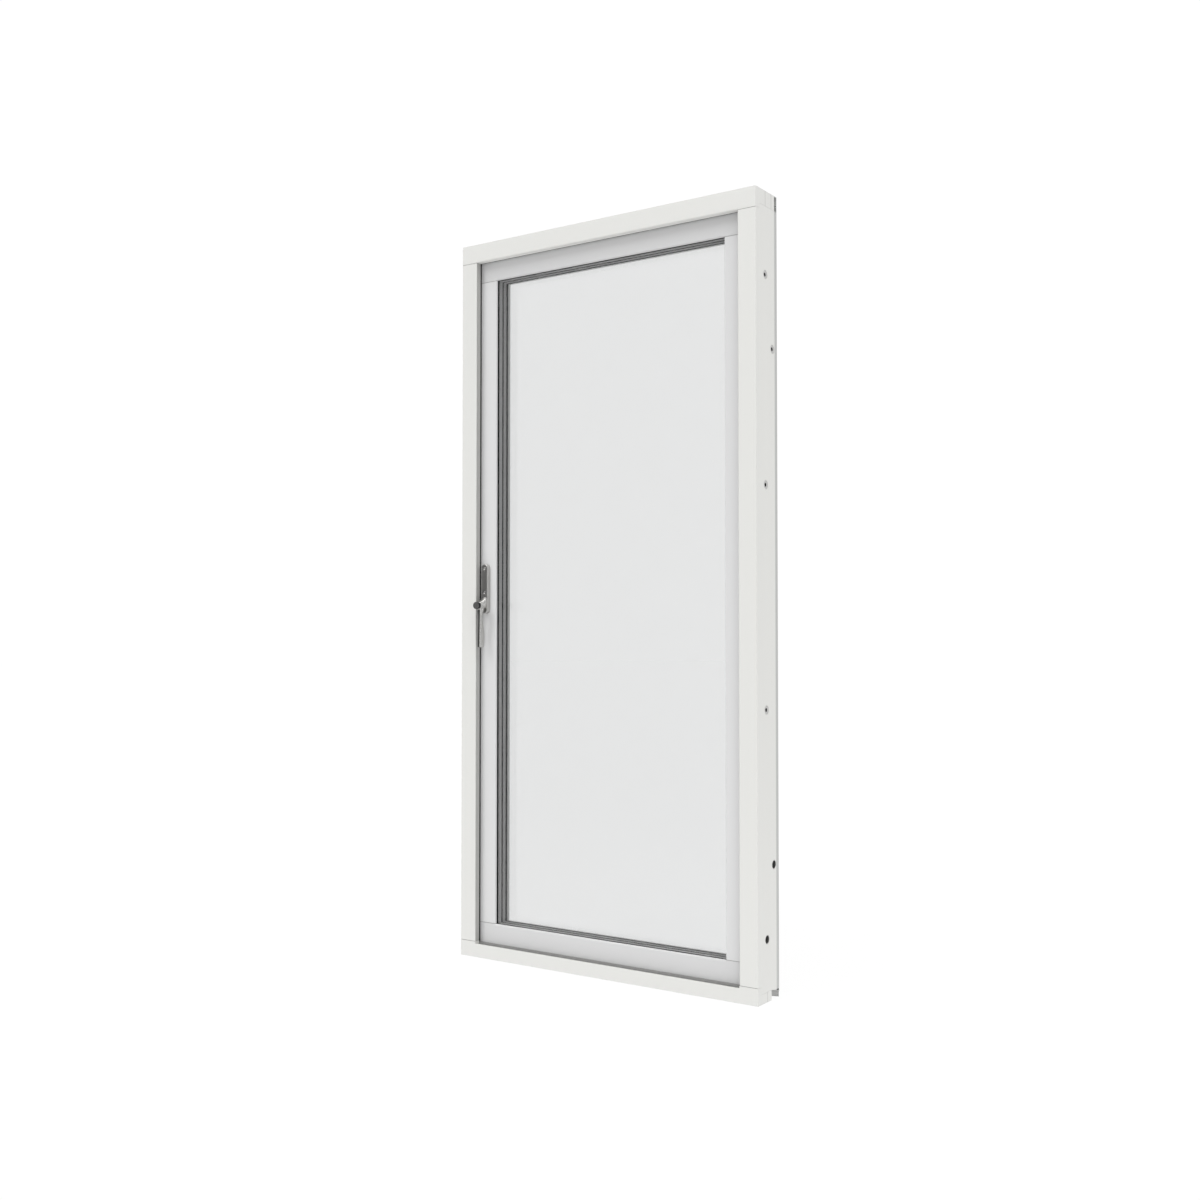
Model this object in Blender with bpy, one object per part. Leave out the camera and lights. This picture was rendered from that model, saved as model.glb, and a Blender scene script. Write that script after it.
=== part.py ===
"""Side-hung casement window that opens outwards, with its lever handle.

The fixed frame and the sash are painted timber with aluminium cladding outside. The sash
holds a triple-glazed unit and an espagnolette bolt, and hangs on two butt hinges.

X runs across the window, +Y from the room outwards and +Z up. The origin is the centre of
the sill's flat underside. Depths are measured outwards from the frame's room face, and
deep() turns a depth into Y. Insets are measured inwards from the frame's outer edge.
"""
import math

import bmesh
import bpy
from mathutils import Matrix, Vector

MM = 0.001

# Overall size of the fixed frame
WIDTH = 880 * MM
HEIGHT = 1880 * MM
FRAME_DEPTH = 93 * MM
CLADDING_FACE = 105.5 * MM
SEAT_DEPTH = 67 * MM
GAP = 0.3 * MM
WALL = 1.8 * MM
BEYOND = 2 * MM  # how far a cutter runs past the face it cuts
SHY = 0.2 * MM  # how far an opening's cutter stays off a rail's own edge

# Frame section: a stop on the room side, a rebate for the sash behind it
STOP_FACE = 48 * MM
STOP_DEPTH = 17 * MM
STOP_ROUND = 3 * MM
REBATE = 36 * MM
LOCK_REBATE = 34 * MM
SILL_HEIGHT = 40 * MM
SILL_EDGE = 35 * MM
SILL_BACK_EDGE = 31 * MM
SILL_REBATE = 23 * MM
JAMB_TOE = 18.5 * MM
CLADDING_INSET = 33.5 * MM
HEAD_CLADDING_INSET = 38 * MM
JAMB_CLADDING_FOOT = 20.2 * MM
GASKET_INSETS = (43.6 * MM, 47.2 * MM)

# Sash section and its place in the frame
SASH_INSET = 40 * MM
SASH_FOOT = 27 * MM
SASH_FACE = 24 * MM
SASH_BACK = 78 * MM
GLAZING_LIP = 29.5 * MM
GLAZING_REBATE = 82 * MM
SIGHT_INSET = 97 * MM
SIGHT_FOOT = 87.5 * MM
SIGHT_TOP = HEIGHT - 97.5 * MM
RAIL_REBATE_FOOT = 72.5 * MM
RAIL_REBATE_TOP = HEIGHT - 82.5 * MM
SASH_ROUND_DEPTH = 5.5 * MM
SASH_ROUND_WIDTH = 3.9 * MM
LOCK_EDGE = 44 * MM
LOCK_EDGE_DEPTH = 52 * MM
SASH_CLADDING_FACE = 100 * MM
SASH_CLADDING_LIP = 88 * MM

# Sealed glazing unit: three panes and two spacers
PANE = 4 * MM
PANE_PITCH = 20 * MM
PANE_DEPTH = 32 * MM
PANE_INSET = 85 * MM
PANE_FOOT = 75.5 * MM
PANE_TOP = HEIGHT - 85.5 * MM
SPACER_WIDTH = 11 * MM

BLOCK_XS = (220 * MM, 300 * MM)

# Fixing sleeves in the jambs and bushes behind the hinges
SLEEVE_DEPTH = 47 * MM
SLEEVE_HEIGHTS = (143 * MM, 670 * MM, 1192 * MM, 1683 * MM)
SLEEVE_RADIUS = 10.3 * MM
SLEEVE_BORE = 4.5 * MM
BUSH_DEPTH = 82 * MM
BUSH_LENGTH = 29.5 * MM

# Hinges
HINGE_HEIGHTS = (310 * MM, 1514 * MM)
HINGE_INSET = 38 * MM
HINGE_DEPTH = 111 * MM
HINGE_HALF = 50 * MM
KNUCKLE_HALF = 17 * MM
KNUCKLE_RADIUS = 5.4 * MM
PIN_RADIUS = 3 * MM
PIN_BORE = 3.06 * MM
PIN_CAP_RADIUS = 4.6 * MM
LEAF_THICKNESS = 2 * MM
FRAME_LEAF_START = 72 * MM
SASH_LEAF_START = 56 * MM
LEAF_REACH = 103 * MM
TAB_REACH = 108 * MM

# Handle: backplate, lever and the push button in the lever's neck
HANDLE_INSET = 67 * MM
PIVOT_HEIGHT = 926 * MM
PLATE_HALF_WIDTH = 10.2 * MM
PLATE_FOOT = 900 * MM
PLATE_TOP = 1030 * MM
PLATE_FACE = 11.7 * MM
PLATE_SCREW_BORE = 2.7 * MM
PLATE_SCREW_SINK = 4.5 * MM
PLATE_SCREW_SEAT = 14.8 * MM
PLATE_SCREWS = (954 * MM, 1018 * MM)
PILOT_RADIUS = 2.6 * MM
PILOT_END = 31.8 * MM
SPINDLE_HOLE = 9 * MM
SPINDLE_BEARING = 6.4 * MM
BUTTON_HEIGHT = 920.5 * MM
BUTTON_BORE = 4.3 * MM
BUTTON_BORE_ENDS = (-15 * MM, 1.5 * MM)
LEVER_END = 811 * MM
SPINDLE_HALF = 3.5 * MM
SOCKET_DEPTHS = (3 * MM, 13 * MM)
SOCKET_PLAY = 0.05 * MM

# Espagnolette: a pinion on the spindle drives a rack on the bolt rod
PITCH = 4 * MM
PINION_TEETH = 18
PITCH_RADIUS = PINION_TEETH * PITCH / (2 * math.pi)
ADDENDUM = 1.1 * MM
DEDENDUM = 1.35 * MM
TOOTH_WIDTH = 1.8 * MM
PRESSURE_ANGLE = math.radians(20)
BOLT_TRAVEL = 18 * MM
BOLT_DEPTH = 39 * MM
CAM_HEIGHTS = (330 * MM, 1550 * MM)
CAM_SLOT_HALF = 3.4 * MM
FACEPLATE_FOOT = 110 * MM
FACEPLATE_TOP = 1770 * MM
FACEPLATE_BACK = 46.4 * MM
FACEPLATE_DEPTHS = (31 * MM, 47 * MM)
ROD_INSETS = (46.8 * MM, 49.3 * MM)
ROD_DEPTHS = (34.5 * MM, 43.5 * MM)
ROD_FOOT = 145 * MM
ROD_TOP = 1735 * MM
CASE_INSETS = (50.6 * MM, 81.1 * MM)
CASE_WALL = 1.2 * MM
CASE_DEPTHS = (33 * MM, 45 * MM)
CASE_HALF = 36 * MM
GEAR_DEPTHS = (36 * MM, 42 * MM)
HUB_RADIUS = 5.7 * MM

# Keeps in the lock jamb
KEEP_DEPTHS = (30 * MM, 56 * MM)
KEEP_HALF = 25 * MM
KEEP_THICKNESS = 1.5 * MM
KEEP_LIP_INSET = 38.3 * MM
KEEP_LIP_DEPTHS = (44 * MM, 46 * MM)
KEEP_LIP_HALF = 8 * MM

# Colours: red, green, blue, then roughness and metallic
FINISHES = {
    "white_paint": ((0.80, 0.81, 0.79), 0.45, 0.0),
    "grey_cladding": ((0.55, 0.56, 0.56), 0.40, 0.6),
    "drip_aluminium": ((0.30, 0.31, 0.30), 0.45, 0.8),
    "dark_rubber": ((0.05, 0.05, 0.05), 0.80, 0.0),
    "grey_spacer": ((0.35, 0.36, 0.36), 0.55, 0.0),
    "clear_glass": ((0.90, 0.94, 0.93), 0.02, 0.0),
    "white_plastic": ((0.75, 0.75, 0.74), 0.50, 0.0),
    "black_plastic": ((0.04, 0.04, 0.04), 0.45, 0.0),
    "satin_metal": ((0.62, 0.61, 0.59), 0.30, 1.0),
    "zinc_steel": ((0.55, 0.55, 0.54), 0.35, 1.0),
}


# Shape helpers ---------------------------------------------------------------

def deep(depth):
    """Y of a depth measured outwards from the frame's room face."""
    return depth - SEAT_DEPTH / 2


def inset_x(side, inset):
    """X of an inset from the frame's left (-1) or right (1) outer edge."""
    return side * (WIDTH / 2 - inset)


PLACES = {
    "X": lambda a, b, along: (along, deep(a), b),
    "Y": lambda a, b, along: (a, deep(along), b),
    "Z": lambda a, b, along: (a, deep(b), along),
}


def new_object(name, bm):
    bmesh.ops.recalc_face_normals(bm, faces=bm.faces)
    mesh = bpy.data.meshes.new(name)
    bm.to_mesh(mesh)
    bm.free()
    made = bpy.data.objects.new(name, mesh)
    bpy.context.collection.objects.link(made)
    return made


def loft(name, rings, closed=False):
    """A solid through rings whose points match one to one, with flat ends unless closed."""
    bm = bmesh.new()
    loops = [[bm.verts.new(point) for point in ring] for ring in rings]
    pairs = list(zip(loops, loops[1:]))
    if closed:
        pairs.append((loops[-1], loops[0]))
    else:
        bm.faces.new(loops[0])
        bm.faces.new(loops[-1])
    for lower, upper in pairs:
        for k in range(len(lower)):
            after = (k + 1) % len(lower)
            bm.faces.new((lower[k], lower[after], upper[after], upper[k]))
    return new_object(name, bm)


def prism(name, axis, outline, low, high):
    """An outline pushed along an axis. X takes (depth, z), Y takes (x, z), Z takes (x, depth)."""
    place = PLACES[axis]
    return loft(name, [[place(a, b, along) for a, b in outline] for along in (low, high)])


def box(name, xs, depths, zs):
    outline = [(xs[0], depths[0]), (xs[1], depths[0]), (xs[1], depths[1]), (xs[0], depths[1])]
    return prism(name, "Z", outline, zs[0], zs[1])


def arc(centre, radius, start, end, steps):
    """Points along a circular arc between two angles in degrees."""
    angles = [math.radians(start + (end - start) * k / steps) for k in range(steps + 1)]
    return [(centre[0] + radius * math.cos(a), centre[1] + radius * math.sin(a)) for a in angles]


def circle(centre, radius, steps):
    return arc(centre, radius, 0, 360, steps)[:-1]


def turned(name, axis, centre, profile, steps=24, closed=False):
    """A round piece about an axis, from (position along the axis, radius) pairs."""
    place = PLACES[axis]
    rings = [[place(a, b, along) for a, b in circle(centre, r, steps)] for along, r in profile]
    return loft(name, rings, closed)


def corners(rectangle, inset, depth):
    """The four corners of a rectangle (x, x, z, z) moved in by an inset."""
    x0, x1, z0, z1 = rectangle
    xs = (x0 + inset, x1 - inset)
    zs = (z0 + inset, z1 - inset)
    y = deep(depth)
    return [(xs[0], y, zs[0]), (xs[1], y, zs[0]), (xs[1], y, zs[1]), (xs[0], y, zs[1])]


def ring(name, rectangle, section):
    """A section of (inset, depth) points swept round a rectangle with mitred corners."""
    around = [corners(rectangle, inset, depth) for inset, depth in section]
    return loft(name, [[row[k] for row in around] for k in range(4)], closed=True)


def mitred_bar(name, rectangle, section, side):
    """One side of such a ring, as a bar of its own with a small gap at each mitre."""
    ends = {"foot": (0, 1, 0), "right": (1, 2, 2), "top": (3, 2, 0), "left": (0, 3, 2)}
    first, last, along = ends[side]
    rings = []
    for corner, shift in ((first, GAP / 2), (last, -GAP / 2)):
        points = [Vector(corners(rectangle, inset, depth)[corner]) for inset, depth in section]
        for point in points:
            point[along] += shift
        rings.append(points)
    return loft(name, rings)


def opening_cutter(rectangle, back, face, round_depth, round_width):
    """Cuts a rectangular opening to its sight size and rounds its room-side edge."""
    levels = [(back, 0)]
    for degrees in (0, 22.5, 45, 67.5, 90):
        t = math.radians(degrees)
        levels.append((face + round_depth * (1 - math.sin(t)), round_width * (1 - math.cos(t))))
    levels.append((face - BEYOND, round_width))
    return loft("opening", [corners(rectangle, -grow, depth) for depth, grow in levels])


def combine(target, operation, tools):
    """Apply a Boolean of each tool to the target and remove the tools."""
    for tool in tools:
        step = target.modifiers.new(tool.name, "BOOLEAN")
        step.operation = operation
        step.object = tool
    graph = bpy.context.evaluated_depsgraph_get()
    mesh = bpy.data.meshes.new_from_object(target.evaluated_get(graph))
    target.modifiers.clear()
    target.data = mesh
    for tool in tools:
        bpy.data.objects.remove(tool)
    return target


def cut(target, *tools):
    return combine(target, "DIFFERENCE", tools)


def unite(target, *tools):
    return combine(target, "UNION", tools)


# Fixed frame -----------------------------------------------------------------

def frame_opening():
    sight = inset_x(1, STOP_FACE)
    top = HEIGHT - STOP_FACE - SHY
    return opening_cutter((-sight, sight, 0, top), STOP_DEPTH + 1 * MM, 0, STOP_ROUND, STOP_ROUND)


def frame_head():
    outline = [(0, HEIGHT), (0, HEIGHT - STOP_FACE), (STOP_DEPTH, HEIGHT - STOP_FACE)]
    outline += [(STOP_DEPTH, HEIGHT - REBATE), (FRAME_DEPTH, HEIGHT - REBATE), (FRAME_DEPTH, HEIGHT)]
    head = prism("frame_head", "X", outline, inset_x(-1, 0), inset_x(1, 0))
    return cut(head, frame_opening())


def frame_sill():
    """Full height under the jambs; between them the stop is lower and falls outwards."""
    outline = [(0, 0), (SEAT_DEPTH, 0), (SEAT_DEPTH, SILL_REBATE), (STOP_DEPTH, SILL_REBATE)]
    outline += [(STOP_DEPTH, SILL_HEIGHT), (0, SILL_HEIGHT)]
    sill = prism("frame_sill", "X", outline, inset_x(-1, 0), inset_x(1, 0))
    edge = 1.6 * MM
    slope = (SILL_BACK_EDGE - SILL_EDGE) / STOP_DEPTH
    groove = arc((edge, SILL_EDGE - edge), edge, 180, 90, 3)
    groove.append((STOP_DEPTH + BEYOND, SILL_BACK_EDGE + slope * BEYOND))
    groove.append((STOP_DEPTH + BEYOND, SILL_HEIGHT + BEYOND))
    groove += [(-BEYOND, SILL_HEIGHT + BEYOND), (-BEYOND, SILL_EDGE - edge)]
    sight = inset_x(1, STOP_FACE)
    return cut(sill, prism("sill_stop", "X", groove, -sight, sight))


def frame_jamb(side, name, rebate):
    foot = SILL_HEIGHT + GAP
    head = HEIGHT - STOP_FACE - GAP
    heel = SILL_REBATE + GAP
    top = HEIGHT - REBATE - GAP
    outline = [(0, foot), (STOP_DEPTH, foot), (STOP_DEPTH, heel), (SEAT_DEPTH, heel)]
    outline += [(FRAME_DEPTH, JAMB_TOE), (FRAME_DEPTH, top), (STOP_DEPTH, top)]
    outline += [(STOP_DEPTH, head), (0, head)]
    jamb = prism(name, "X", outline, inset_x(side, 0), inset_x(side, rebate))
    stop_xs = (inset_x(side, rebate / 2), inset_x(side, STOP_FACE + BEYOND))
    unite(jamb, box("stop", stop_xs, (0, STOP_DEPTH), (foot, head)))
    cut(jamb, frame_opening())
    ends = (inset_x(side, -BEYOND), inset_x(side, rebate + BEYOND))
    bore = SLEEVE_RADIUS + GAP
    for height in SLEEVE_HEIGHTS:
        profile = [(ends[0], bore), (ends[1], bore)]
        cut(jamb, turned("sleeve_bore", "X", (SLEEVE_DEPTH, height), profile))
    return jamb


def cut_hinge_seats(jamb):
    """Blind bores for the bushes and shallow seats for the hinge leaves."""
    radius = SLEEVE_RADIUS + GAP
    blind = inset_x(1, BUSH_LENGTH + GAP)
    for height in HINGE_HEIGHTS:
        profile = [(inset_x(1, -BEYOND), radius), (blind, radius)]
        bush = turned("bush_bore", "X", (BUSH_DEPTH, height), profile)
        seat_xs = (inset_x(1, REBATE - LEAF_THICKNESS - GAP), inset_x(1, REBATE + BEYOND))
        seat_zs = (height - HINGE_HALF - GAP, height + HINGE_HALF + GAP)
        seat_depths = (FRAME_LEAF_START - GAP, FRAME_DEPTH + BEYOND)
        cut(jamb, bush, box("leaf_seat", seat_xs, seat_depths, seat_zs))
    return jamb


def cut_keep_seats(jamb):
    xs = (inset_x(-1, LOCK_REBATE - KEEP_THICKNESS - GAP), inset_x(-1, LOCK_REBATE + BEYOND))
    depths = (KEEP_DEPTHS[0] - GAP, KEEP_DEPTHS[1] + GAP)
    for height in CAM_HEIGHTS:
        zs = (height - KEEP_HALF - GAP, height + KEEP_HALF + GAP)
        cut(jamb, box("keep_seat", xs, depths, zs))
    return jamb


def sleeve(name, side, depth, height, length):
    """A round bush with a through hole, flush with the jamb's outer face."""
    xs = (inset_x(side, 0.2 * MM), inset_x(side, length))
    profile = [(xs[0], SLEEVE_RADIUS), (xs[1], SLEEVE_RADIUS), (xs[1], SLEEVE_BORE)]
    profile.append((xs[0], SLEEVE_BORE))
    return turned(name, "X", (depth, height), profile, closed=True)


def head_cladding():
    """An open channel along the head, with two ribs that its clips hold."""
    inner = CLADDING_FACE - WALL
    foot = HEIGHT - HEAD_CLADDING_INSET
    back = FRAME_DEPTH + GAP
    outline = [(back, HEIGHT), (CLADDING_FACE, HEIGHT), (CLADDING_FACE, foot), (back, foot)]
    outline += [(back, foot + WALL), (inner, foot + WALL)]
    reach = 5 * MM
    thickness = 1.2 * MM
    for rib in (foot + 12 * MM, foot + 16 * MM):
        outline += [(inner, rib), (inner - reach, rib)]
        outline += [(inner - reach, rib + thickness), (inner, rib + thickness)]
    outline += [(inner, HEIGHT - WALL), (back, HEIGHT - WALL)]
    return prism("head_cladding", "X", outline, inset_x(-1, 0), inset_x(1, 0))


def jamb_cladding(side, name):
    inner = CLADDING_FACE - WALL
    back = FRAME_DEPTH + GAP
    points = [(0, back), (0, CLADDING_FACE), (CLADDING_INSET, CLADDING_FACE)]
    points += [(CLADDING_INSET, back), (CLADDING_INSET - WALL, back)]
    points += [(CLADDING_INSET - WALL, inner), (WALL, inner), (WALL, back)]
    outline = [(inset_x(side, inset), depth) for inset, depth in points]
    return prism(name, "Z", outline, JAMB_CLADDING_FOOT, HEIGHT - HEAD_CLADDING_INSET - GAP)


def drip_sill():
    """A hollow aluminium sill that falls outwards, with a nose under the jamb cladding."""
    back = SEAT_DEPTH + 0.4 * MM
    front = 103.4 * MM
    nose = 105.4 * MM
    outline = [(back, 22.4 * MM), (FRAME_DEPTH, 17.8 * MM), (front, 16 * MM), (front, 19.6 * MM)]
    outline += [(nose, 19.6 * MM), (nose, 13 * MM), (front, 11 * MM), (front, 0.5 * MM)]
    outline.append((back, 9.6 * MM))
    hollow = [(back + WALL, 20.2 * MM), (front - WALL, 14.4 * MM), (front - WALL, 3 * MM)]
    hollow.append((back + WALL, 11 * MM))
    sill = prism("drip_sill", "X", outline, inset_x(-1, 0), inset_x(1, 0))
    return cut(sill, prism("hollow", "X", hollow, inset_x(-1, -BEYOND), inset_x(1, -BEYOND)))


def frame_gaskets():
    """Strips between the frame's stop and the closed sash."""
    depths = (STOP_DEPTH + GAP, SASH_FACE - GAP)
    outer, inner = GASKET_INSETS
    reach = inset_x(1, outer)
    top = (HEIGHT - inner, HEIGHT - outer)
    box("frame_gasket_head", (-reach, reach), depths, top)
    for side, name in ((-1, "frame_gasket_left"), (1, "frame_gasket_right")):
        xs = (inset_x(side, outer), inset_x(side, inner))
        box(name, xs, depths, (SASH_FOOT + GAP, HEIGHT - inner - GAP))
    sill_reach = inset_x(1, inner + GAP)
    bead_radius = 3 * MM
    bead = arc((depths[1] - bead_radius, 34.5 * MM), bead_radius, 0, 90, 4)
    outline = [(depths[0], SASH_FOOT + GAP), (depths[1], SASH_FOOT + GAP)] + bead
    outline += [(depths[0] + 1.5 * MM, 36 * MM), (depths[0], 33 * MM)]
    prism("frame_gasket_sill", "X", outline, -sill_reach, sill_reach)


def keep(name, height):
    """A keep plate let into the lock jamb, with a short lip outside the cam's path."""
    back = LOCK_REBATE - KEEP_THICKNESS
    zs = (height - KEEP_HALF, height + KEEP_HALF)
    plate = box(name, (inset_x(-1, back), inset_x(-1, LOCK_REBATE)), KEEP_DEPTHS, zs)
    lip_xs = (inset_x(-1, back + KEEP_THICKNESS / 2), inset_x(-1, KEEP_LIP_INSET))
    lip_zs = (height - KEEP_LIP_HALF, height + KEEP_LIP_HALF)
    return unite(plate, box("lip", lip_xs, KEEP_LIP_DEPTHS, lip_zs))


def frame():
    frame_head()
    frame_sill()
    cut_keep_seats(frame_jamb(-1, "frame_jamb_left", LOCK_REBATE))
    cut_hinge_seats(frame_jamb(1, "frame_jamb_right", REBATE))
    head_cladding()
    drip_sill()
    frame_gaskets()
    for side, word, rebate in ((-1, "left", LOCK_REBATE), (1, "right", REBATE)):
        jamb_cladding(side, f"jamb_cladding_{word}")
        for number, height in enumerate(SLEEVE_HEIGHTS, 1):
            name = f"fixing_sleeve_{word}_{number}"
            sleeve(name, side, SLEEVE_DEPTH, height, rebate - 1 * MM)
    for word, height in zip(("lower", "upper"), CAM_HEIGHTS):
        keep(f"keep_{word}", height)


# Hinges ----------------------------------------------------------------------

def hinge_leaf(name, insets, depth, height, knuckles, plate_zs):
    """A flat leaf with round knuckles about the hinge axis."""
    xs = (inset_x(1, insets[0]), inset_x(1, insets[1]))
    axis = (inset_x(1, HINGE_INSET), HINGE_DEPTH)
    leaf = box(name, xs, (depth, LEAF_REACH), (height + plate_zs[0], height + plate_zs[1]))
    parts = []
    bores = []
    for low, high in knuckles:
        zs = (height + low, height + high)
        parts.append(box("tab", xs, (LEAF_REACH - BEYOND, TAB_REACH), zs))
        parts.append(turned("knuckle", "Z", axis, [(zs[0], KNUCKLE_RADIUS), (zs[1], KNUCKLE_RADIUS)]))
        ends = (zs[0] - BEYOND, zs[1] + BEYOND)
        bores.append(turned("bore", "Z", axis, [(ends[0], PIN_BORE), (ends[1], PIN_BORE)]))
    unite(leaf, *parts)
    return cut(leaf, *bores)


def hinge(word, height):
    whole = (-HINGE_HALF, HINGE_HALF)
    outer = [(-HINGE_HALF, -KNUCKLE_HALF - GAP), (KNUCKLE_HALF + GAP, HINGE_HALF)]
    middle = [(-KNUCKLE_HALF, KNUCKLE_HALF)]
    frame_insets = (REBATE - LEAF_THICKNESS, REBATE)
    sash_insets = (HINGE_INSET, SASH_INSET - GAP)
    hinge_leaf(f"hinge_frame_leaf_{word}", frame_insets, FRAME_LEAF_START, height, outer, whole)
    hinge_leaf(f"hinge_sash_leaf_{word}", sash_insets, SASH_LEAF_START, height, middle, whole)
    axis = (inset_x(1, HINGE_INSET), HINGE_DEPTH)
    top = height + HINGE_HALF + GAP
    profile = [(height - HINGE_HALF, PIN_RADIUS), (top, PIN_RADIUS), (top, PIN_CAP_RADIUS)]
    profile += [(top + 1.6 * MM, PIN_CAP_RADIUS), (top + 2.4 * MM, 3.4 * MM)]
    turned(f"hinge_pin_{word}", "Z", axis, profile)
    sleeve(f"hinge_bush_{word}", 1, BUSH_DEPTH, height, BUSH_LENGTH)


# Sash ------------------------------------------------------------------------

def sash_opening():
    sight = inset_x(1, SIGHT_INSET)
    rectangle = (-sight, sight, SIGHT_FOOT + SHY, SIGHT_TOP - SHY)
    back = GLAZING_LIP + 1.5 * MM
    return opening_cutter(rectangle, back, SASH_FACE, SASH_ROUND_DEPTH, SASH_ROUND_WIDTH)


def lock_step():
    """The lock side's room corner is set back, so that it clears the frame as it swings."""
    xs = (inset_x(-1, SASH_INSET - BEYOND), inset_x(-1, LOCK_EDGE))
    return box("lock_step", xs, (SASH_FACE - BEYOND, LOCK_EDGE_DEPTH), (0, HEIGHT))


def sash_rail(name, edge, rebate, sight):
    outline = [(SASH_FACE, edge), (SASH_BACK, edge), (SASH_BACK, rebate), (GLAZING_LIP, rebate)]
    outline += [(GLAZING_LIP, sight), (SASH_FACE, sight)]
    rail = prism(name, "X", outline, inset_x(-1, SASH_INSET), inset_x(1, SASH_INSET))
    return cut(rail, sash_opening(), lock_step())


def sash_stile(name, side):
    foot = SIGHT_FOOT + GAP
    top = SIGHT_TOP - GAP
    heel = RAIL_REBATE_FOOT + GAP
    crown = RAIL_REBATE_TOP - GAP
    outline = [(SASH_FACE, foot), (GLAZING_LIP, foot), (GLAZING_LIP, heel), (SASH_BACK, heel)]
    outline += [(SASH_BACK, crown), (GLAZING_LIP, crown), (GLAZING_LIP, top), (SASH_FACE, top)]
    stile = prism(name, "X", outline, inset_x(side, SASH_INSET), inset_x(side, GLAZING_REBATE))
    lip_xs = (inset_x(side, HANDLE_INSET), inset_x(side, SIGHT_INSET + BEYOND))
    unite(stile, box("lip", lip_xs, (SASH_FACE, GLAZING_LIP), (foot, top)))
    return cut(stile, sash_opening())


def cut_lock_mortises(stile):
    """Grooves for the faceplate and the rod, a pocket for the gearbox and the handle's holes."""
    edge = inset_x(-1, LOCK_EDGE - BEYOND)
    ends = (FACEPLATE_FOOT - GAP, FACEPLATE_TOP + GAP)
    plate_depths = (FACEPLATE_DEPTHS[0] - GAP, FACEPLATE_DEPTHS[1] + GAP)
    rod_depths = (ROD_DEPTHS[0] - GAP, ROD_DEPTHS[1] + GAP)
    plate_xs = (edge, inset_x(-1, FACEPLATE_BACK + GAP))
    rod_xs = (edge, inset_x(-1, ROD_INSETS[1] + GAP))
    pocket_xs = (edge, inset_x(-1, CASE_INSETS[1] + GAP))
    pocket_depths = (CASE_DEPTHS[0] - GAP, CASE_DEPTHS[1] + GAP)
    pocket_zs = (PIVOT_HEIGHT - CASE_HALF - GAP, PIVOT_HEIGHT + CASE_HALF + GAP)
    handle_x = inset_x(-1, HANDLE_INSET)
    hole = [(SASH_FACE - BEYOND, SPINDLE_HOLE), (CASE_DEPTHS[0] + BEYOND, SPINDLE_HOLE)]
    cut(stile, lock_step())
    cut(stile, box("faceplate_groove", plate_xs, plate_depths, ends))
    cut(stile, box("rod_groove", rod_xs, rod_depths, ends))
    cut(stile, box("gearbox_pocket", pocket_xs, pocket_depths, pocket_zs))
    cut(stile, turned("spindle_hole", "Y", (handle_x, PIVOT_HEIGHT), hole))
    for height in PLATE_SCREWS:
        drill = [(SASH_FACE - BEYOND, PILOT_RADIUS), (PILOT_END, PILOT_RADIUS)]
        cut(stile, turned("screw_hole", "Y", (handle_x, height), drill, steps=12))
    return stile


def sash_cladding():
    """Four mitred channels round the outside of the sash."""
    reveal = 0.5 * MM
    edge = inset_x(1, SASH_INSET + reveal)
    foot = SASH_FOOT + 3.5 * MM
    rectangle = (-edge, edge, foot, HEIGHT - SASH_INSET - reveal)
    sight = SIGHT_INSET - SASH_INSET - reveal
    back = SASH_BACK + 2 * GAP
    inner = SASH_CLADDING_FACE - WALL
    section = [(0, back), (0, SASH_CLADDING_FACE), (sight - 9.5 * MM, SASH_CLADDING_FACE)]
    section += [(sight, SASH_CLADDING_LIP), (sight, back), (sight - WALL, back)]
    inside_lip = SASH_CLADDING_LIP - WALL / 3
    section += [(sight - WALL, inside_lip), (sight - 10.4 * MM, inner), (WALL, inner), (WALL, back)]
    for side in ("foot", "right", "top", "left"):
        mitred_bar(f"sash_cladding_{side}", rectangle, section, side)


def glazing():
    reach = inset_x(1, PANE_INSET)
    for number, word in enumerate(("inner", "middle", "outer")):
        depth = PANE_DEPTH + number * PANE_PITCH
        box(f"pane_{word}", (-reach, reach), (depth, depth + PANE), (PANE_FOOT, PANE_TOP))
    sight = inset_x(1, SIGHT_INSET)
    rectangle = (-sight, sight, SIGHT_FOOT, SIGHT_TOP)
    for number, word in enumerate(("inner", "outer")):
        start = PANE_DEPTH + number * PANE_PITCH + PANE + GAP
        end = start + PANE_PITCH - PANE - 2 * GAP
        section = [(-SPACER_WIDTH, start), (-SPACER_WIDTH, end), (0, end), (0, start)]
        ring(f"spacer_{word}", rectangle, section)
    last = PANE_DEPTH + 2 * PANE_PITCH + PANE
    for word, start, end in (
        ("inner", GLAZING_LIP + GAP, PANE_DEPTH - GAP),
        ("outer", last + GAP, SASH_BACK + GAP),
    ):
        section = [(-SPACER_WIDTH, start), (-SPACER_WIDTH, end), (0, end), (0, start)]
        ring(f"glazing_gasket_{word}", rectangle, section)
    for word, side in (("left", -1), ("right", 1)):
        xs = (side * BLOCK_XS[0], side * BLOCK_XS[1])
        zs = (RAIL_REBATE_FOOT + GAP, PANE_FOOT - GAP)
        box(f"setting_block_{word}", xs, (34 * MM, 74 * MM), zs)


def sash():
    sash_rail("sash_rail_foot", SASH_FOOT, RAIL_REBATE_FOOT, SIGHT_FOOT)
    sash_rail("sash_rail_top", HEIGHT - SASH_INSET, RAIL_REBATE_TOP, SIGHT_TOP)
    cut_lock_mortises(sash_stile("sash_stile_left", -1))
    sash_stile("sash_stile_right", 1)
    sash_cladding()
    glazing()


# Espagnolette ----------------------------------------------------------------

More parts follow.
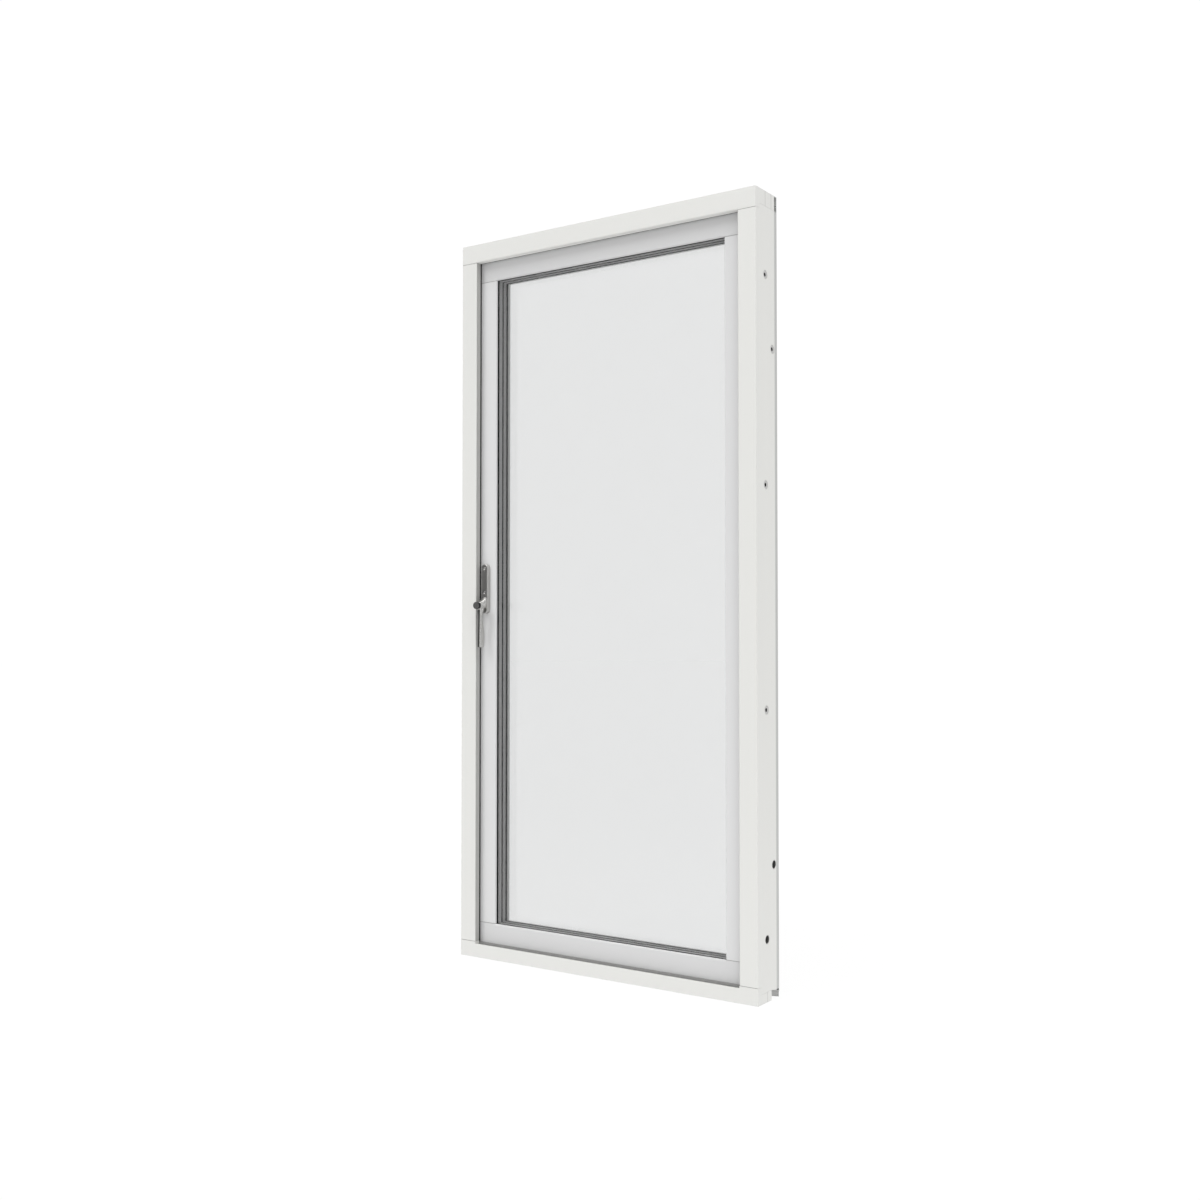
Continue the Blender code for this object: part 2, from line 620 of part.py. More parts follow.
def faceplate():
    xs = (inset_x(-1, LOCK_EDGE), inset_x(-1, FACEPLATE_BACK))
    plate = box("bolt_faceplate", xs, FACEPLATE_DEPTHS, (FACEPLATE_FOOT, FACEPLATE_TOP))
    slot_xs = (inset_x(-1, LOCK_EDGE - BEYOND), inset_x(-1, FACEPLATE_BACK + BEYOND))
    slot_depths = (BOLT_DEPTH - CAM_SLOT_HALF, BOLT_DEPTH + CAM_SLOT_HALF)
    for height in CAM_HEIGHTS:
        zs = (height - BOLT_TRAVEL - CAM_SLOT_HALF, height + CAM_SLOT_HALF)
        cut(plate, box("slot", slot_xs, slot_depths, zs))
    return plate


def gearbox_case():
    """A case open towards the rod, with a bearing hole for the pinion in each face."""
    xs = (inset_x(-1, CASE_INSETS[0]), inset_x(-1, CASE_INSETS[1]))
    zs = (PIVOT_HEIGHT - CASE_HALF, PIVOT_HEIGHT + CASE_HALF)
    case = box("gearbox_case", xs, CASE_DEPTHS, zs)
    hollow_xs = (xs[0] - BEYOND, xs[1] - CASE_WALL)
    hollow_depths = (CASE_DEPTHS[0] + CASE_WALL, CASE_DEPTHS[1] - CASE_WALL)
    hollow_zs = (zs[0] + CASE_WALL, zs[1] - CASE_WALL)
    hollow = box("hollow", hollow_xs, hollow_depths, hollow_zs)
    bore = HUB_RADIUS + GAP
    bore_ends = [(CASE_DEPTHS[0] - BEYOND, bore), (CASE_DEPTHS[1] + BEYOND, bore)]
    bearing = turned("bearing", "Y", (inset_x(-1, HANDLE_INSET), PIVOT_HEIGHT), bore_ends)
    return cut(case, hollow, bearing)


def involute(angle):
    return math.tan(angle) - angle


def pinion_outline(centre):
    """Involute teeth, with a gap facing the rack at 180 degrees."""
    base = PITCH_RADIUS * math.cos(PRESSURE_ANGLE)
    radii = (PITCH_RADIUS - DEDENDUM, base, PITCH_RADIUS + 0.1 * MM, PITCH_RADIUS + ADDENDUM)
    flank = []
    for radius in radii:
        turn = involute(math.acos(min(1, base / radius)))
        half = TOOTH_WIDTH / 2 / PITCH_RADIUS + involute(PRESSURE_ANGLE) - turn
        flank.append((radius, half))
    points = []
    for tooth in range(PINION_TEETH):
        middle = math.pi + (tooth + 0.5) * 2 * math.pi / PINION_TEETH
        for radius, half in flank:
            points.append((radius, middle - half))
        for radius, half in reversed(flank):
            points.append((radius, middle + half))
    return [(centre[0] + r * math.cos(a), centre[1] + r * math.sin(a)) for r, a in points]


def square(centre, half):
    x, z = centre
    return [(x - half, z - half), (x + half, z - half), (x + half, z + half), (x - half, z + half)]


def pinion():
    centre = (inset_x(-1, HANDLE_INSET), PIVOT_HEIGHT)
    gear = prism("espagnolette_pinion", "Y", pinion_outline(centre), *GEAR_DEPTHS)
    hub_ends = (CASE_DEPTHS[0] + GAP, CASE_DEPTHS[1] - GAP)
    hub = turned("hub", "Y", centre, [(hub_ends[0], HUB_RADIUS), (hub_ends[1], HUB_RADIUS)])
    unite(gear, hub)
    socket_ends = (CASE_DEPTHS[0] - BEYOND, CASE_DEPTHS[1] + BEYOND)
    hole = square(centre, SPINDLE_HALF + GAP)
    return cut(gear, prism("socket", "Y", hole, *socket_ends))


def drive_rack():
    """A straight rack on the rod, its teeth towards the pinion."""
    line = inset_x(-1, HANDLE_INSET) - PITCH_RADIUS
    root = line - DEDENDUM
    tip = line + ADDENDUM
    root_half = TOOTH_WIDTH / 2 + DEDENDUM * math.tan(PRESSURE_ANGLE)
    tip_half = TOOTH_WIDTH / 2 - ADDENDUM * math.tan(PRESSURE_ANGLE)
    back = inset_x(-1, ROD_INSETS[1] + GAP)
    foot = PIVOT_HEIGHT - 14 * MM
    top = PIVOT_HEIGHT + 32 * MM
    outline = [(back, foot), (root, foot)]
    for tooth in range(-3, 8):
        middle = PIVOT_HEIGHT + tooth * PITCH
        outline += [(root, middle - root_half), (tip, middle - tip_half)]
        outline += [(tip, middle + tip_half), (root, middle + root_half)]
    outline += [(root, top), (back, top)]
    half = (GEAR_DEPTHS[1] - GEAR_DEPTHS[0]) / 2 + 0.5 * MM
    return prism("drive_rack", "Y", outline, BOLT_DEPTH - half, BOLT_DEPTH + half)


def bolt_rod():
    xs = (inset_x(-1, ROD_INSETS[0]), inset_x(-1, ROD_INSETS[1]))
    return box("bolt_rod", xs, ROD_DEPTHS, (ROD_FOOT, ROD_TOP))


def cam(name, height):
    """A mushroom cam that stands on the rod and reaches out through the faceplate."""
    stages = ((46.5, 2.9), (43.7, 2.9), (43.7, 4.0), (40.0, 4.0), (39.5, 3.5))
    profile = [(inset_x(-1, inset * MM), radius * MM) for inset, radius in stages]
    return turned(name, "X", (BOLT_DEPTH, height), profile, steps=20)


# Handle ----------------------------------------------------------------------

def backplate():
    """A thick plate with round ends and a rounded front edge."""
    x = inset_x(-1, HANDLE_INSET)
    half = PLATE_HALF_WIDTH
    rings = []
    for depth, inward in ((23.7, 0), (13.2, 0), (12.4, 0.3), (11.9, 0.8), (11.7, 1.5)):
        radius = half - inward * MM
        top = arc((x, PLATE_TOP - half), radius, 0, 180, 12)
        foot = arc((x, PLATE_FOOT + half), radius, 180, 360, 12)
        rings.append([(a, deep(depth * MM), b) for a, b in top + foot])
    plate = loft("handle_backplate", rings)
    bore = [(PLATE_FACE - BEYOND, SPINDLE_BEARING), (SASH_FACE + BEYOND, SPINDLE_BEARING)]
    cut(plate, turned("spindle_bore", "Y", (x, PIVOT_HEIGHT), bore))
    for height in PLATE_SCREWS:
        hole = [(PLATE_FACE - BEYOND, PLATE_SCREW_SINK), (PLATE_SCREW_SEAT, PLATE_SCREW_SINK)]
        hole += [(PLATE_SCREW_SEAT, PLATE_SCREW_BORE), (SASH_FACE + BEYOND, PLATE_SCREW_BORE)]
        cut(plate, turned("screw_hole", "Y", (x, height), hole, steps=16))
    return plate


def plate_screw(name, height):
    head = [(12.0, 2.2), (12.4, 3.6), (13.2, 4.2), (14.4, 4.2)]
    shank = [(14.4, 2.3), (29.5, 2.3), (31.4, 0.8)]
    profile = [(depth * MM, radius * MM) for depth, radius in head + shank]
    return turned(name, "Y", (inset_x(-1, HANDLE_INSET), height), profile, steps=16)


def rounded_box(half_x, low, high, radius, steps):
    """A rectangle with round corners, from -half_x to half_x and from low to high."""
    points = []
    for x, y, start in ((1, 1, 0), (-1, 1, 90), (-1, -1, 180), (1, -1, 270)):
        centre = (x * (half_x - radius), (high - radius) if y > 0 else (low + radius))
        points += arc(centre, radius, start, start + 90, steps)
    return points


def lever():
    """An oval neck that leans down from the plate, and a deep narrow blade below it."""
    x = inset_x(-1, HANDLE_INSET)
    neck = []
    for depth, half_x, half_z, middle in (
        (11.4, 9.0, 15.3, 928.6),
        (6.0, 9.0, 13.6, 926.2),
        (0.0, 9.0, 11.9, 923.9),
        (-5.0, 9.2, 10.6, 922.0),
        (-9.0, 9.5, 9.9, 920.9),
        (-13.0, 9.5, 9.5, 920.5),
    ):
        y = deep(depth * MM)
        outline = circle((0, 0), 1, 32)
        neck.append([(x + a * half_x * MM, y, (middle + b * half_z) * MM) for a, b in outline])
    handle = loft("handle_lever", neck)
    blade = []
    for height, half_x, front, back, radius in (
        (926, 7.0, -10.6, 8.0, 2.2),
        (917, 6.6, -10.8, 6.4, 2.2),
        (908, 5.0, -10.4, 3.6, 1.8),
        (898, 3.8, -9.9, 1.8, 1.4),
        (886, 3.3, -10.0, 1.9, 1.1),
        (875, 3.2, -10.2, 3.7, 1.0),
        (864, 3.2, -10.4, 6.4, 1.0),
        (850, 3.2, -10.8, 8.9, 1.0),
        (837, 3.2, -11.1, 9.8, 1.0),
        (824, 3.2, -11.4, 9.0, 1.0),
        (LEVER_END / MM + 1, 3.2, -11.6, 7.4, 1.0),
        (LEVER_END / MM, 2.8, -11.2, 7.0, 0.8),
    ):
        section = rounded_box(half_x, front, back, radius, 3)
        blade.append([(x + a * MM, deep(b * MM), height * MM) for a, b in section])
    unite(handle, loft("blade", blade))
    socket = square((x, PIVOT_HEIGHT), SPINDLE_HALF + SOCKET_PLAY)
    cut(handle, prism("socket", "Y", socket, *SOCKET_DEPTHS))
    bore = [(depth, BUTTON_BORE) for depth in BUTTON_BORE_ENDS]
    return cut(handle, turned("button_bore", "Y", (x, BUTTON_HEIGHT), bore))


def spindle():
    outline = square((inset_x(-1, HANDLE_INSET), PIVOT_HEIGHT), SPINDLE_HALF)
    return prism("handle_spindle", "Y", outline, 3.3 * MM, 44.4 * MM)


def push_button():
    """A round cap on a guide stem."""
    profile = [(-2.2, 4.1), (-16.2, 4.1), (-16.2, 9.2), (-16.6, 9.5), (-22.4, 9.5), (-23.2, 8.9)]
    profile = [(depth * MM, radius * MM) for depth, radius in profile]
    return turned("push_button", "Y", (inset_x(-1, HANDLE_INSET), BUTTON_HEIGHT), profile, steps=32)


def lock_and_handle():
    faceplate()
    gearbox_case()
    pinion()
    drive_rack()
    bolt_rod()
    for word, height in zip(("lower", "upper"), CAM_HEIGHTS):
        cam(f"cam_{word}", height)
    backplate()
    for word, height in zip(("lower", "upper"), PLATE_SCREWS):
        plate_screw(f"backplate_screw_{word}", height)
    lever()
    spindle()
    push_button()


# Materials and groups --------------------------------------------------------

FINISH_OF = (
    ("frame_gasket", "dark_rubber"),
    ("frame_", "white_paint"),
    ("sash_rail", "white_paint"),
    ("sash_stile", "white_paint"),
    ("head_cladding", "grey_cladding"),
    ("jamb_cladding", "grey_cladding"),
    ("sash_cladding", "grey_cladding"),
    ("drip_sill", "drip_aluminium"),
    ("fixing_sleeve", "white_plastic"),
    ("hinge_bush", "white_plastic"),
    ("glazing_gasket", "dark_rubber"),
    ("spacer", "grey_spacer"),
    ("pane", "clear_glass"),
    ("setting_block", "black_plastic"),
    ("push_button", "black_plastic"),
    ("handle_spindle", "zinc_steel"),
    ("handle_", "satin_metal"),
    ("backplate_screw", "satin_metal"),
)

SASH_PARTS = ("sash_", "pane", "spacer", "glazing_gasket", "setting_block", "hinge_sash_leaf")
SASH_PARTS += ("bolt_faceplate", "gearbox_case", "handle_backplate", "backplate_screw")
HANDLE_PARTS = ("handle_lever", "handle_spindle", "espagnolette_pinion")
ROD_PARTS = ("bolt_rod", "drive_rack", "cam_")
BUTTON_PARTS = ("push_button",)


def shader(finish):
    colour, roughness, metallic = FINISHES[finish]
    material = bpy.data.materials.new(finish)
    material.use_nodes = True
    surface = material.node_tree.nodes["Principled BSDF"]
    surface.inputs["Base Color"].default_value = (*colour, 1)
    surface.inputs["Roughness"].default_value = roughness
    surface.inputs["Metallic"].default_value = metallic
    if finish == "clear_glass":
        surface.inputs["Transmission Weight"].default_value = 1
    return material


def finish_for(name):
    for start, finish in FINISH_OF:
        if name.startswith(start):
            return finish
    return "zinc_steel"


def empty(name, place, parent=None):
    made = bpy.data.objects.new(name, None)
    bpy.context.collection.objects.link(made)
    made.empty_display_size = 50 * MM
    made.parent = parent
    made.matrix_world = Matrix.Translation(place)
    return made


def centre_of(piece):
    corners_of = [Vector(corner) for corner in piece.bound_box]
    return sum(corners_of, Vector()) / len(corners_of)


def set_origin(piece, place, parent):
    """Move a piece's origin without moving its shape, and hang it on its parent."""
    piece.data.transform(Matrix.Translation(-place))
    piece.parent = parent
    piece.location = place - (parent.matrix_world.translation if parent else Vector())


def group_pieces():
    """Hang every moving piece on an empty that lies on its joint's axis."""
    handle_x = inset_x(-1, HANDLE_INSET)
    swing = empty("sash_axis", (inset_x(1, HINGE_INSET), deep(HINGE_DEPTH), 0))
    turn = empty("handle_axis", (handle_x, deep(PLATE_FACE), PIVOT_HEIGHT), swing)
    slide = empty("rod_axis", (inset_x(-1, ROD_INSETS[0]), deep(BOLT_DEPTH), PIVOT_HEIGHT), swing)
    press = empty("button_axis", (handle_x, deep(0), BUTTON_HEIGHT), turn)
    groups = ((SASH_PARTS, swing), (HANDLE_PARTS, turn), (ROD_PARTS, slide), (BUTTON_PARTS, press))
    materials = {finish: shader(finish) for finish in FINISHES}
    for piece in [piece for piece in bpy.data.objects if piece.type == "MESH"]:
        parent = None
        for names, axis in groups:
            if piece.name.startswith(names):
                parent = axis
        set_origin(piece, centre_of(piece), parent)
        piece.data.materials.clear()
        piece.data.materials.append(materials[finish_for(piece.name)])
        piece.data.shade_smooth()
        piece.data.set_sharp_from_angle(angle=math.radians(32))


def main():
    for old in list(bpy.data.objects):
        bpy.data.objects.remove(old)
    frame()
    for word, height in zip(("lower", "upper"), HINGE_HEIGHTS):
        hinge(word, height)
    sash()
    lock_and_handle()
    group_pieces()


main()
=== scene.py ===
"""Looks of the casement window: finishes, fine pieces, glass, light and camera.

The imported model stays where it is. Its flat members keep their shape and get softened arrises
and a finish of their own. The handle, the screws, the fixing sleeves, the hinge pins and the
rubber profiles are built here in more detail and stand for their CAD nodes.
Lengths are in metres unless a comment gives millimetres; depths run outwards along +Y.
"""
import math

import bmesh
import bpy
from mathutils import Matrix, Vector

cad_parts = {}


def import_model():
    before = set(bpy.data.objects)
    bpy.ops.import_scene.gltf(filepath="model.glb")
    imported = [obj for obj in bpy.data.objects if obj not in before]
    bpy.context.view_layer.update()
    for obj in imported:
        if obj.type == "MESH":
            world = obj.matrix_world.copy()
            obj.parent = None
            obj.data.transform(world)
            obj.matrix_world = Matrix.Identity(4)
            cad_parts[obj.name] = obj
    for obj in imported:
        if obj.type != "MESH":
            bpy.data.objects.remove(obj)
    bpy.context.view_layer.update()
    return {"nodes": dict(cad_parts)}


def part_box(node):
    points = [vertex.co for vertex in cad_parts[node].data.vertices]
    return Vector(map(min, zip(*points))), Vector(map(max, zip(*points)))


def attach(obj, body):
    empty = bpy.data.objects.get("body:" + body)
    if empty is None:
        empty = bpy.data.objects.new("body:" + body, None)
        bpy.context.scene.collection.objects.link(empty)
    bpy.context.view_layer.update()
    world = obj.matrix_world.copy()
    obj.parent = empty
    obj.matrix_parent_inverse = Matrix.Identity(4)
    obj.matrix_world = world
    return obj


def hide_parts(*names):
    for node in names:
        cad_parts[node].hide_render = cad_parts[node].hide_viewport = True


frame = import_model()

MM = 0.001
NODES = frame["nodes"]


# Materials -------------------------------------------------------------------

FRAME_WHITE = (0.80, 0.80, 0.775)
# The sash's whites are the frame's white paint darkened as painted shade for the sash set back in
# the frame; the rails are darker still, as painted shade under the head and above the sill.
STILE_WHITE_SHADED = (0.765, 0.765, 0.767)
RAIL_WHITE_SHADED = (0.71, 0.71, 0.712)
# Grey of the painted shade on the stop's faces towards the sash.
REVEAL_SHADE_GREY = (0.46, 0.46, 0.445)
GLUE_GREY = (0.42, 0.42, 0.40)
SEAM_GREY = (0.22, 0.22, 0.21)
SEAL_BLACK = (0.015, 0.015, 0.015)
SATIN_GREY = (0.57, 0.565, 0.55)
SATIN_SHADE = (0.46, 0.455, 0.445)
ZINC_GREY = (0.58, 0.585, 0.59)
ZINC_SHADE = (0.48, 0.485, 0.50)
FLAKE = (0.95, 0.95, 0.94)

# How the grain stretches along each axis, and its fineness across it.
ALONG = {"X": (0.04, 1, 1), "Z": (1, 1, 0.04)}
ACROSS_GRAIN = 260

# How the drip sill's die lines and the handle's brushing stretch.
DIE_LINES = (0.01, 1, 1)
BRUSHING = (1, 1, 0.05)

# Depths of the glue lines behind the room face, and heights of the painted seams.
GLUE_LINES = (47.3 * MM, 77 * MM)
FRAME_SEAMS = (40.6 * MM, 1831.4 * MM)
SASH_SEAMS = (88.1 * MM, 1781.9 * MM)

# The stop's faces towards the sash, which are tinted grey as painted shade: an axis and the places
# along it.
JAMB_REVEAL_SHADE = ("X", (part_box("frame_jamb_left")[1].x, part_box("frame_jamb_right")[0].x))
SILL_REVEAL_SHADE = ("Z", (33 * MM,))

# Widths of the black seal that beds a spacer on a pane. The outer spacer's far line is drawn wider
# than the seal, as painted shade beside the glass's outer edge.
NEAR_SEAL = 1.1 * MM
OUTER_SEAL_AND_SHADE = 2.6 * MM


class Shader:
    """A Principled material with short helpers for its procedural nodes."""

    def __init__(self, name, colour, roughness, metallic=0.0, **sockets):
        self.material = bpy.data.materials.new(name)
        self.material.use_nodes = True
        self.tree = self.material.node_tree
        self.surface = self.tree.nodes["Principled BSDF"]
        self.colour = (*colour, 1)
        self.surface.inputs["Base Color"].default_value = self.colour
        self.surface.inputs["Roughness"].default_value = roughness
        self.surface.inputs["Metallic"].default_value = metallic
        for socket, value in sockets.items():
            self.surface.inputs[socket.replace("_", " ")].default_value = value

    def node(self, kind, **values):
        made = self.tree.nodes.new(kind)
        for key, value in values.items():
            setattr(made, key, value)
        return made

    def link(self, source, target):
        self.tree.links.new(source, target)

    def coordinates(self, stretch=(1, 1, 1)):
        """Object coordinates, scaled along each axis."""
        source = self.node("ShaderNodeTexCoord")
        mapping = self.node("ShaderNodeMapping")
        mapping.inputs["Scale"].default_value = stretch
        self.link(source.outputs["Object"], mapping.inputs["Vector"])
        return mapping.outputs["Vector"]

    def noise(self, scale, detail, stretch=(1, 1, 1)):
        """Noise in object coordinates, finer with a larger scale."""
        made = self.node("ShaderNodeTexNoise")
        made.inputs["Scale"].default_value = scale
        made.inputs["Detail"].default_value = detail
        self.link(self.coordinates(stretch), made.inputs["Vector"])
        return made.outputs["Fac"]

    def ranged(self, value, low, high, start=0.3, end=0.7):
        """Map a value from start..end to low..high."""
        made = self.node("ShaderNodeMapRange")
        made.inputs["From Min"].default_value = start
        made.inputs["From Max"].default_value = end
        made.inputs["To Min"].default_value = low
        made.inputs["To Max"].default_value = high
        self.link(value, made.inputs["Value"])
        return made.outputs["Result"]

    def math(self, operation, first, second):
        """A sum on sockets or plain numbers."""
        made = self.node("ShaderNodeMath", operation=operation)
        for socket, value in zip(made.inputs, (first, second)):
            if isinstance(value, (int, float)):
                socket.default_value = value
            else:
                self.link(value, socket)
        return made.outputs["Value"]

    def tint(self, factor, colour):
        """Mix the base colour towards another one by a factor."""
        mix = self.node("ShaderNodeMix", data_type="RGBA")
        base = self.surface.inputs["Base Color"]
        if base.links:
            self.link(base.links[0].from_socket, mix.inputs["A"])
        else:
            mix.inputs["A"].default_value = self.colour
        mix.inputs["B"].default_value = (*colour, 1)
        self.link(factor, mix.inputs["Factor"])
        self.link(mix.outputs["Result"], base)

    def roughen(self, value, low, high):
        """Let a value vary the roughness from low to high."""
        self.link(self.ranged(value, low, high), self.surface.inputs["Roughness"])

    def bump(self, height, distance, strength):
        """Add a bump on top of those already there."""
        made = self.node("ShaderNodeBump")
        made.inputs["Strength"].default_value = strength
        made.inputs["Distance"].default_value = distance
        self.link(height, made.inputs["Height"])
        normal = self.surface.inputs["Normal"]
        if normal.links:
            self.link(normal.links[0].from_socket, made.inputs["Normal"])
        self.link(made.outputs["Normal"], normal)


def shaded(colour, share):
    """The colour, darkened to a share of itself."""
    return tuple(share * c for c in colour)


def object_place(shader):
    """The object's own X, Y and Z at a point of its surface."""
    source = shader.node("ShaderNodeTexCoord")
    place = shader.node("ShaderNodeSeparateXYZ")
    shader.link(source.outputs["Object"], place.inputs["Vector"])
    return place.outputs


def line_mask(shader, place, positions, half, fade):
    """1 on thin lines at the given positions along one axis."""
    mask = None
    for position in positions:
        away = shader.math("ABSOLUTE", shader.math("SUBTRACT", place, position), 0)
        line = shader.ranged(away, 1, 0, half, half + fade)
        mask = line if mask is None else shader.math("MAXIMUM", mask, line)
    return mask


def facing_mask(shader, axis):
    """1 on the faces that look along an axis."""
    source = shader.node("ShaderNodeTexCoord")
    facing = shader.node("ShaderNodeSeparateXYZ")
    shader.link(source.outputs["Normal"], facing.inputs["Vector"])
    return shader.math("GREATER_THAN", shader.math("ABSOLUTE", facing.outputs[axis], 0), 0.9)


def painted_timber(name, grain, colour, glued=(), seams=(), reveal=None):
    """Sprayed white paint over laminated timber: faint raised grain and a fine stipple.

    Glue lines show on the end grain at the glued depths, and paint shrinks back from a joint
    at the seams' heights. The stop's face towards the sash, the reveal, is tinted grey as
    painted shade; it is given as its axis and its places along that axis.
    """
    paint = Shader(name, colour, roughness=0.42, Specular_IOR_Level=0.4)
    cloudy = paint.noise(scale=9, detail=3, stretch=ALONG[grain])
    paint.tint(paint.ranged(cloudy, low=0, high=1), shaded(colour, 0.975))
    paint.roughen(paint.noise(scale=60, detail=4), low=0.36, high=0.5)
    raised = paint.noise(ACROSS_GRAIN, detail=3, stretch=ALONG[grain])
    paint.bump(raised, distance=0.05 * MM, strength=0.35)
    paint.bump(paint.noise(scale=1500, detail=2), distance=0.03 * MM, strength=0.3)
    place = object_place(paint)
    if glued:
        room_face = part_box("frame_head")[0].y
        depths = [room_face + depth for depth in glued]
        lines = line_mask(paint, place["Y"], depths, half=0.4 * MM, fade=0.9 * MM)
        mask = paint.math("MULTIPLY", lines, facing_mask(paint, "X"))
        paint.tint(paint.math("MULTIPLY", mask, 0.8), GLUE_GREY)
        paint.bump(paint.math("SUBTRACT", 1, mask), distance=0.2 * MM, strength=0.6)
    if seams:
        lines = line_mask(paint, place["Z"], seams, half=0.5 * MM, fade=0.5 * MM)
        facing = paint.math("SUBTRACT", 0.85, facing_mask(paint, "X"))
        paint.tint(paint.math("MULTIPLY", lines, facing), SEAM_GREY)
    # Painted shade: the stop's face towards the sash is tinted grey.
    if reveal:
        axis, positions = reveal
        near = line_mask(paint, place[axis], positions, half=2 * MM, fade=0.2 * MM)
        paint.tint(paint.math("MULTIPLY", near, facing_mask(paint, axis)), REVEAL_SHADE_GREY)
    return paint.material


def powder_coat(name, colour):
    """Powder coat on aluminium: orange peel with a little flake."""
    coat = Shader(name, colour, roughness=0.46, metallic=0.15, Specular_IOR_Level=0.5)
    flake = coat.noise(scale=2600, detail=2)
    coat.tint(coat.ranged(flake, low=0, high=0.12, start=0.45, end=0.7), FLAKE)
    coat.roughen(coat.noise(scale=40, detail=3), low=0.4, high=0.52)
    coat.bump(coat.noise(scale=900, detail=2), distance=0.05 * MM, strength=0.35)
    return coat.material


def extruded_aluminium(name, colour):
    """Bare extrusion: die lines along X and a light oxide bloom."""
    metal = Shader(name, colour, roughness=0.42, metallic=0.35)
    bloom = metal.noise(scale=35, detail=5)
    metal.tint(metal.ranged(bloom, low=0, high=0.35), shaded(colour, 0.72))
    metal.roughen(metal.noise(scale=800, detail=2, stretch=DIE_LINES), low=0.32, high=0.52)
    lines = metal.noise(scale=1600, detail=2, stretch=DIE_LINES)
    metal.bump(lines, distance=0.02 * MM, strength=0.5)
    return metal.material


def rubber(name, colour):
    """Extruded rubber: matt, with dust and fine drag lines."""
    made = Shader(name, colour, roughness=0.75, Specular_IOR_Level=0.3)
    dusty = tuple(1.3 * c + 0.015 for c in colour)
    made.tint(made.ranged(made.noise(scale=120, detail=4), low=0, high=0.3), dusty)
    made.roughen(made.noise(scale=300, detail=3), low=0.65, high=0.85)
    made.bump(made.noise(scale=2400, detail=2), distance=0.03 * MM, strength=0.5)
    return made.material


def edge_spacer(node, far_seal_and_shade):
    """A matt grey spacer with fine vent dots, bedded in a black seal along both panes; for the
    outer spacer the far black line is partly seal and partly painted shade.
    """
    low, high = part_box(node)
    made = Shader(node, (0.74, 0.74, 0.74), roughness=0.6, Specular_IOR_Level=0.3)
    cloudy = made.noise(scale=90, detail=4)
    made.tint(made.ranged(cloudy, low=0, high=0.4), (0.80, 0.80, 0.80))
    depth = object_place(made)["Y"]
    # The outer spacer's far black line is partly seal and partly painted shade.
    for edge, width in ((low.y, NEAR_SEAL), (high.y, far_seal_and_shade)):
        made.tint(line_mask(made, depth, (edge,), half=width, fade=0.2 * MM), SEAL_BLACK)
    dots = made.node("ShaderNodeTexVoronoi", feature="DISTANCE_TO_EDGE")
    dots.inputs["Scale"].default_value = 420
    made.link(made.coordinates(), dots.inputs["Vector"])
    made.bump(dots.outputs["Distance"], distance=0.05 * MM, strength=0.25)
    made.roughen(made.noise(scale=500, detail=2), low=0.5, high=0.7)
    return made.material


def clear_glass():
    """Almost colourless float glass with the faintest waviness."""
    made = Shader("clear_glass", (0.930, 0.932, 0.932), roughness=0.0)
    made.surface.inputs["Transmission Weight"].default_value = 1
    made.surface.inputs["IOR"].default_value = 1.52
    made.bump(made.noise(scale=3, detail=1), distance=0.02 * MM, strength=0.02)
    return made.material


def moulded_plastic(name, colour, roughness):
    """Moulded plastic with a spark-eroded grain."""
    made = Shader(name, colour, roughness, Specular_IOR_Level=0.45)
    patchy = made.noise(scale=150, detail=3)
    made.tint(made.ranged(patchy, low=0, high=0.25), shaded(colour, 0.85))
    made.roughen(made.noise(scale=400, detail=3), roughness - 0.08, roughness + 0.08)
    made.bump(made.noise(scale=3200, detail=2), distance=0.02 * MM, strength=0.45)
    return made.material


def satin_metal(name, roughness):
    """Satin-plated zinc casting: fine brushing along the lever and a soft patchiness."""
    metal = Shader(name, SATIN_GREY, roughness, metallic=1.0)
    metal.tint(metal.ranged(metal.noise(scale=110, detail=4), low=0, high=0.1), SATIN_SHADE)
    uneven = metal.noise(scale=900, detail=3, stretch=BRUSHING)
    metal.roughen(uneven, roughness - 0.03, roughness + 0.03)
    brushed = metal.noise(scale=2600, detail=2, stretch=BRUSHING)
    metal.bump(brushed, distance=0.01 * MM, strength=0.06)
    return metal.material


def zinc_plate():
    """Zinc-plated steel: spangled tone under a thin passivation."""
    metal = Shader("zinc_plate", ZINC_GREY, roughness=0.34, metallic=1.0)
    spangle = metal.node("ShaderNodeTexVoronoi")
    spangle.inputs["Scale"].default_value = 320
    metal.link(metal.coordinates(), spangle.inputs["Vector"])
    spotted = metal.ranged(spangle.outputs["Distance"], low=0, high=0.35, start=0, end=0.8)
    metal.tint(spotted, ZINC_SHADE)
    metal.roughen(metal.noise(scale=260, detail=3), low=0.28, high=0.42)
    metal.bump(metal.noise(scale=1800, detail=2), distance=0.01 * MM, strength=0.4)
    return metal.material


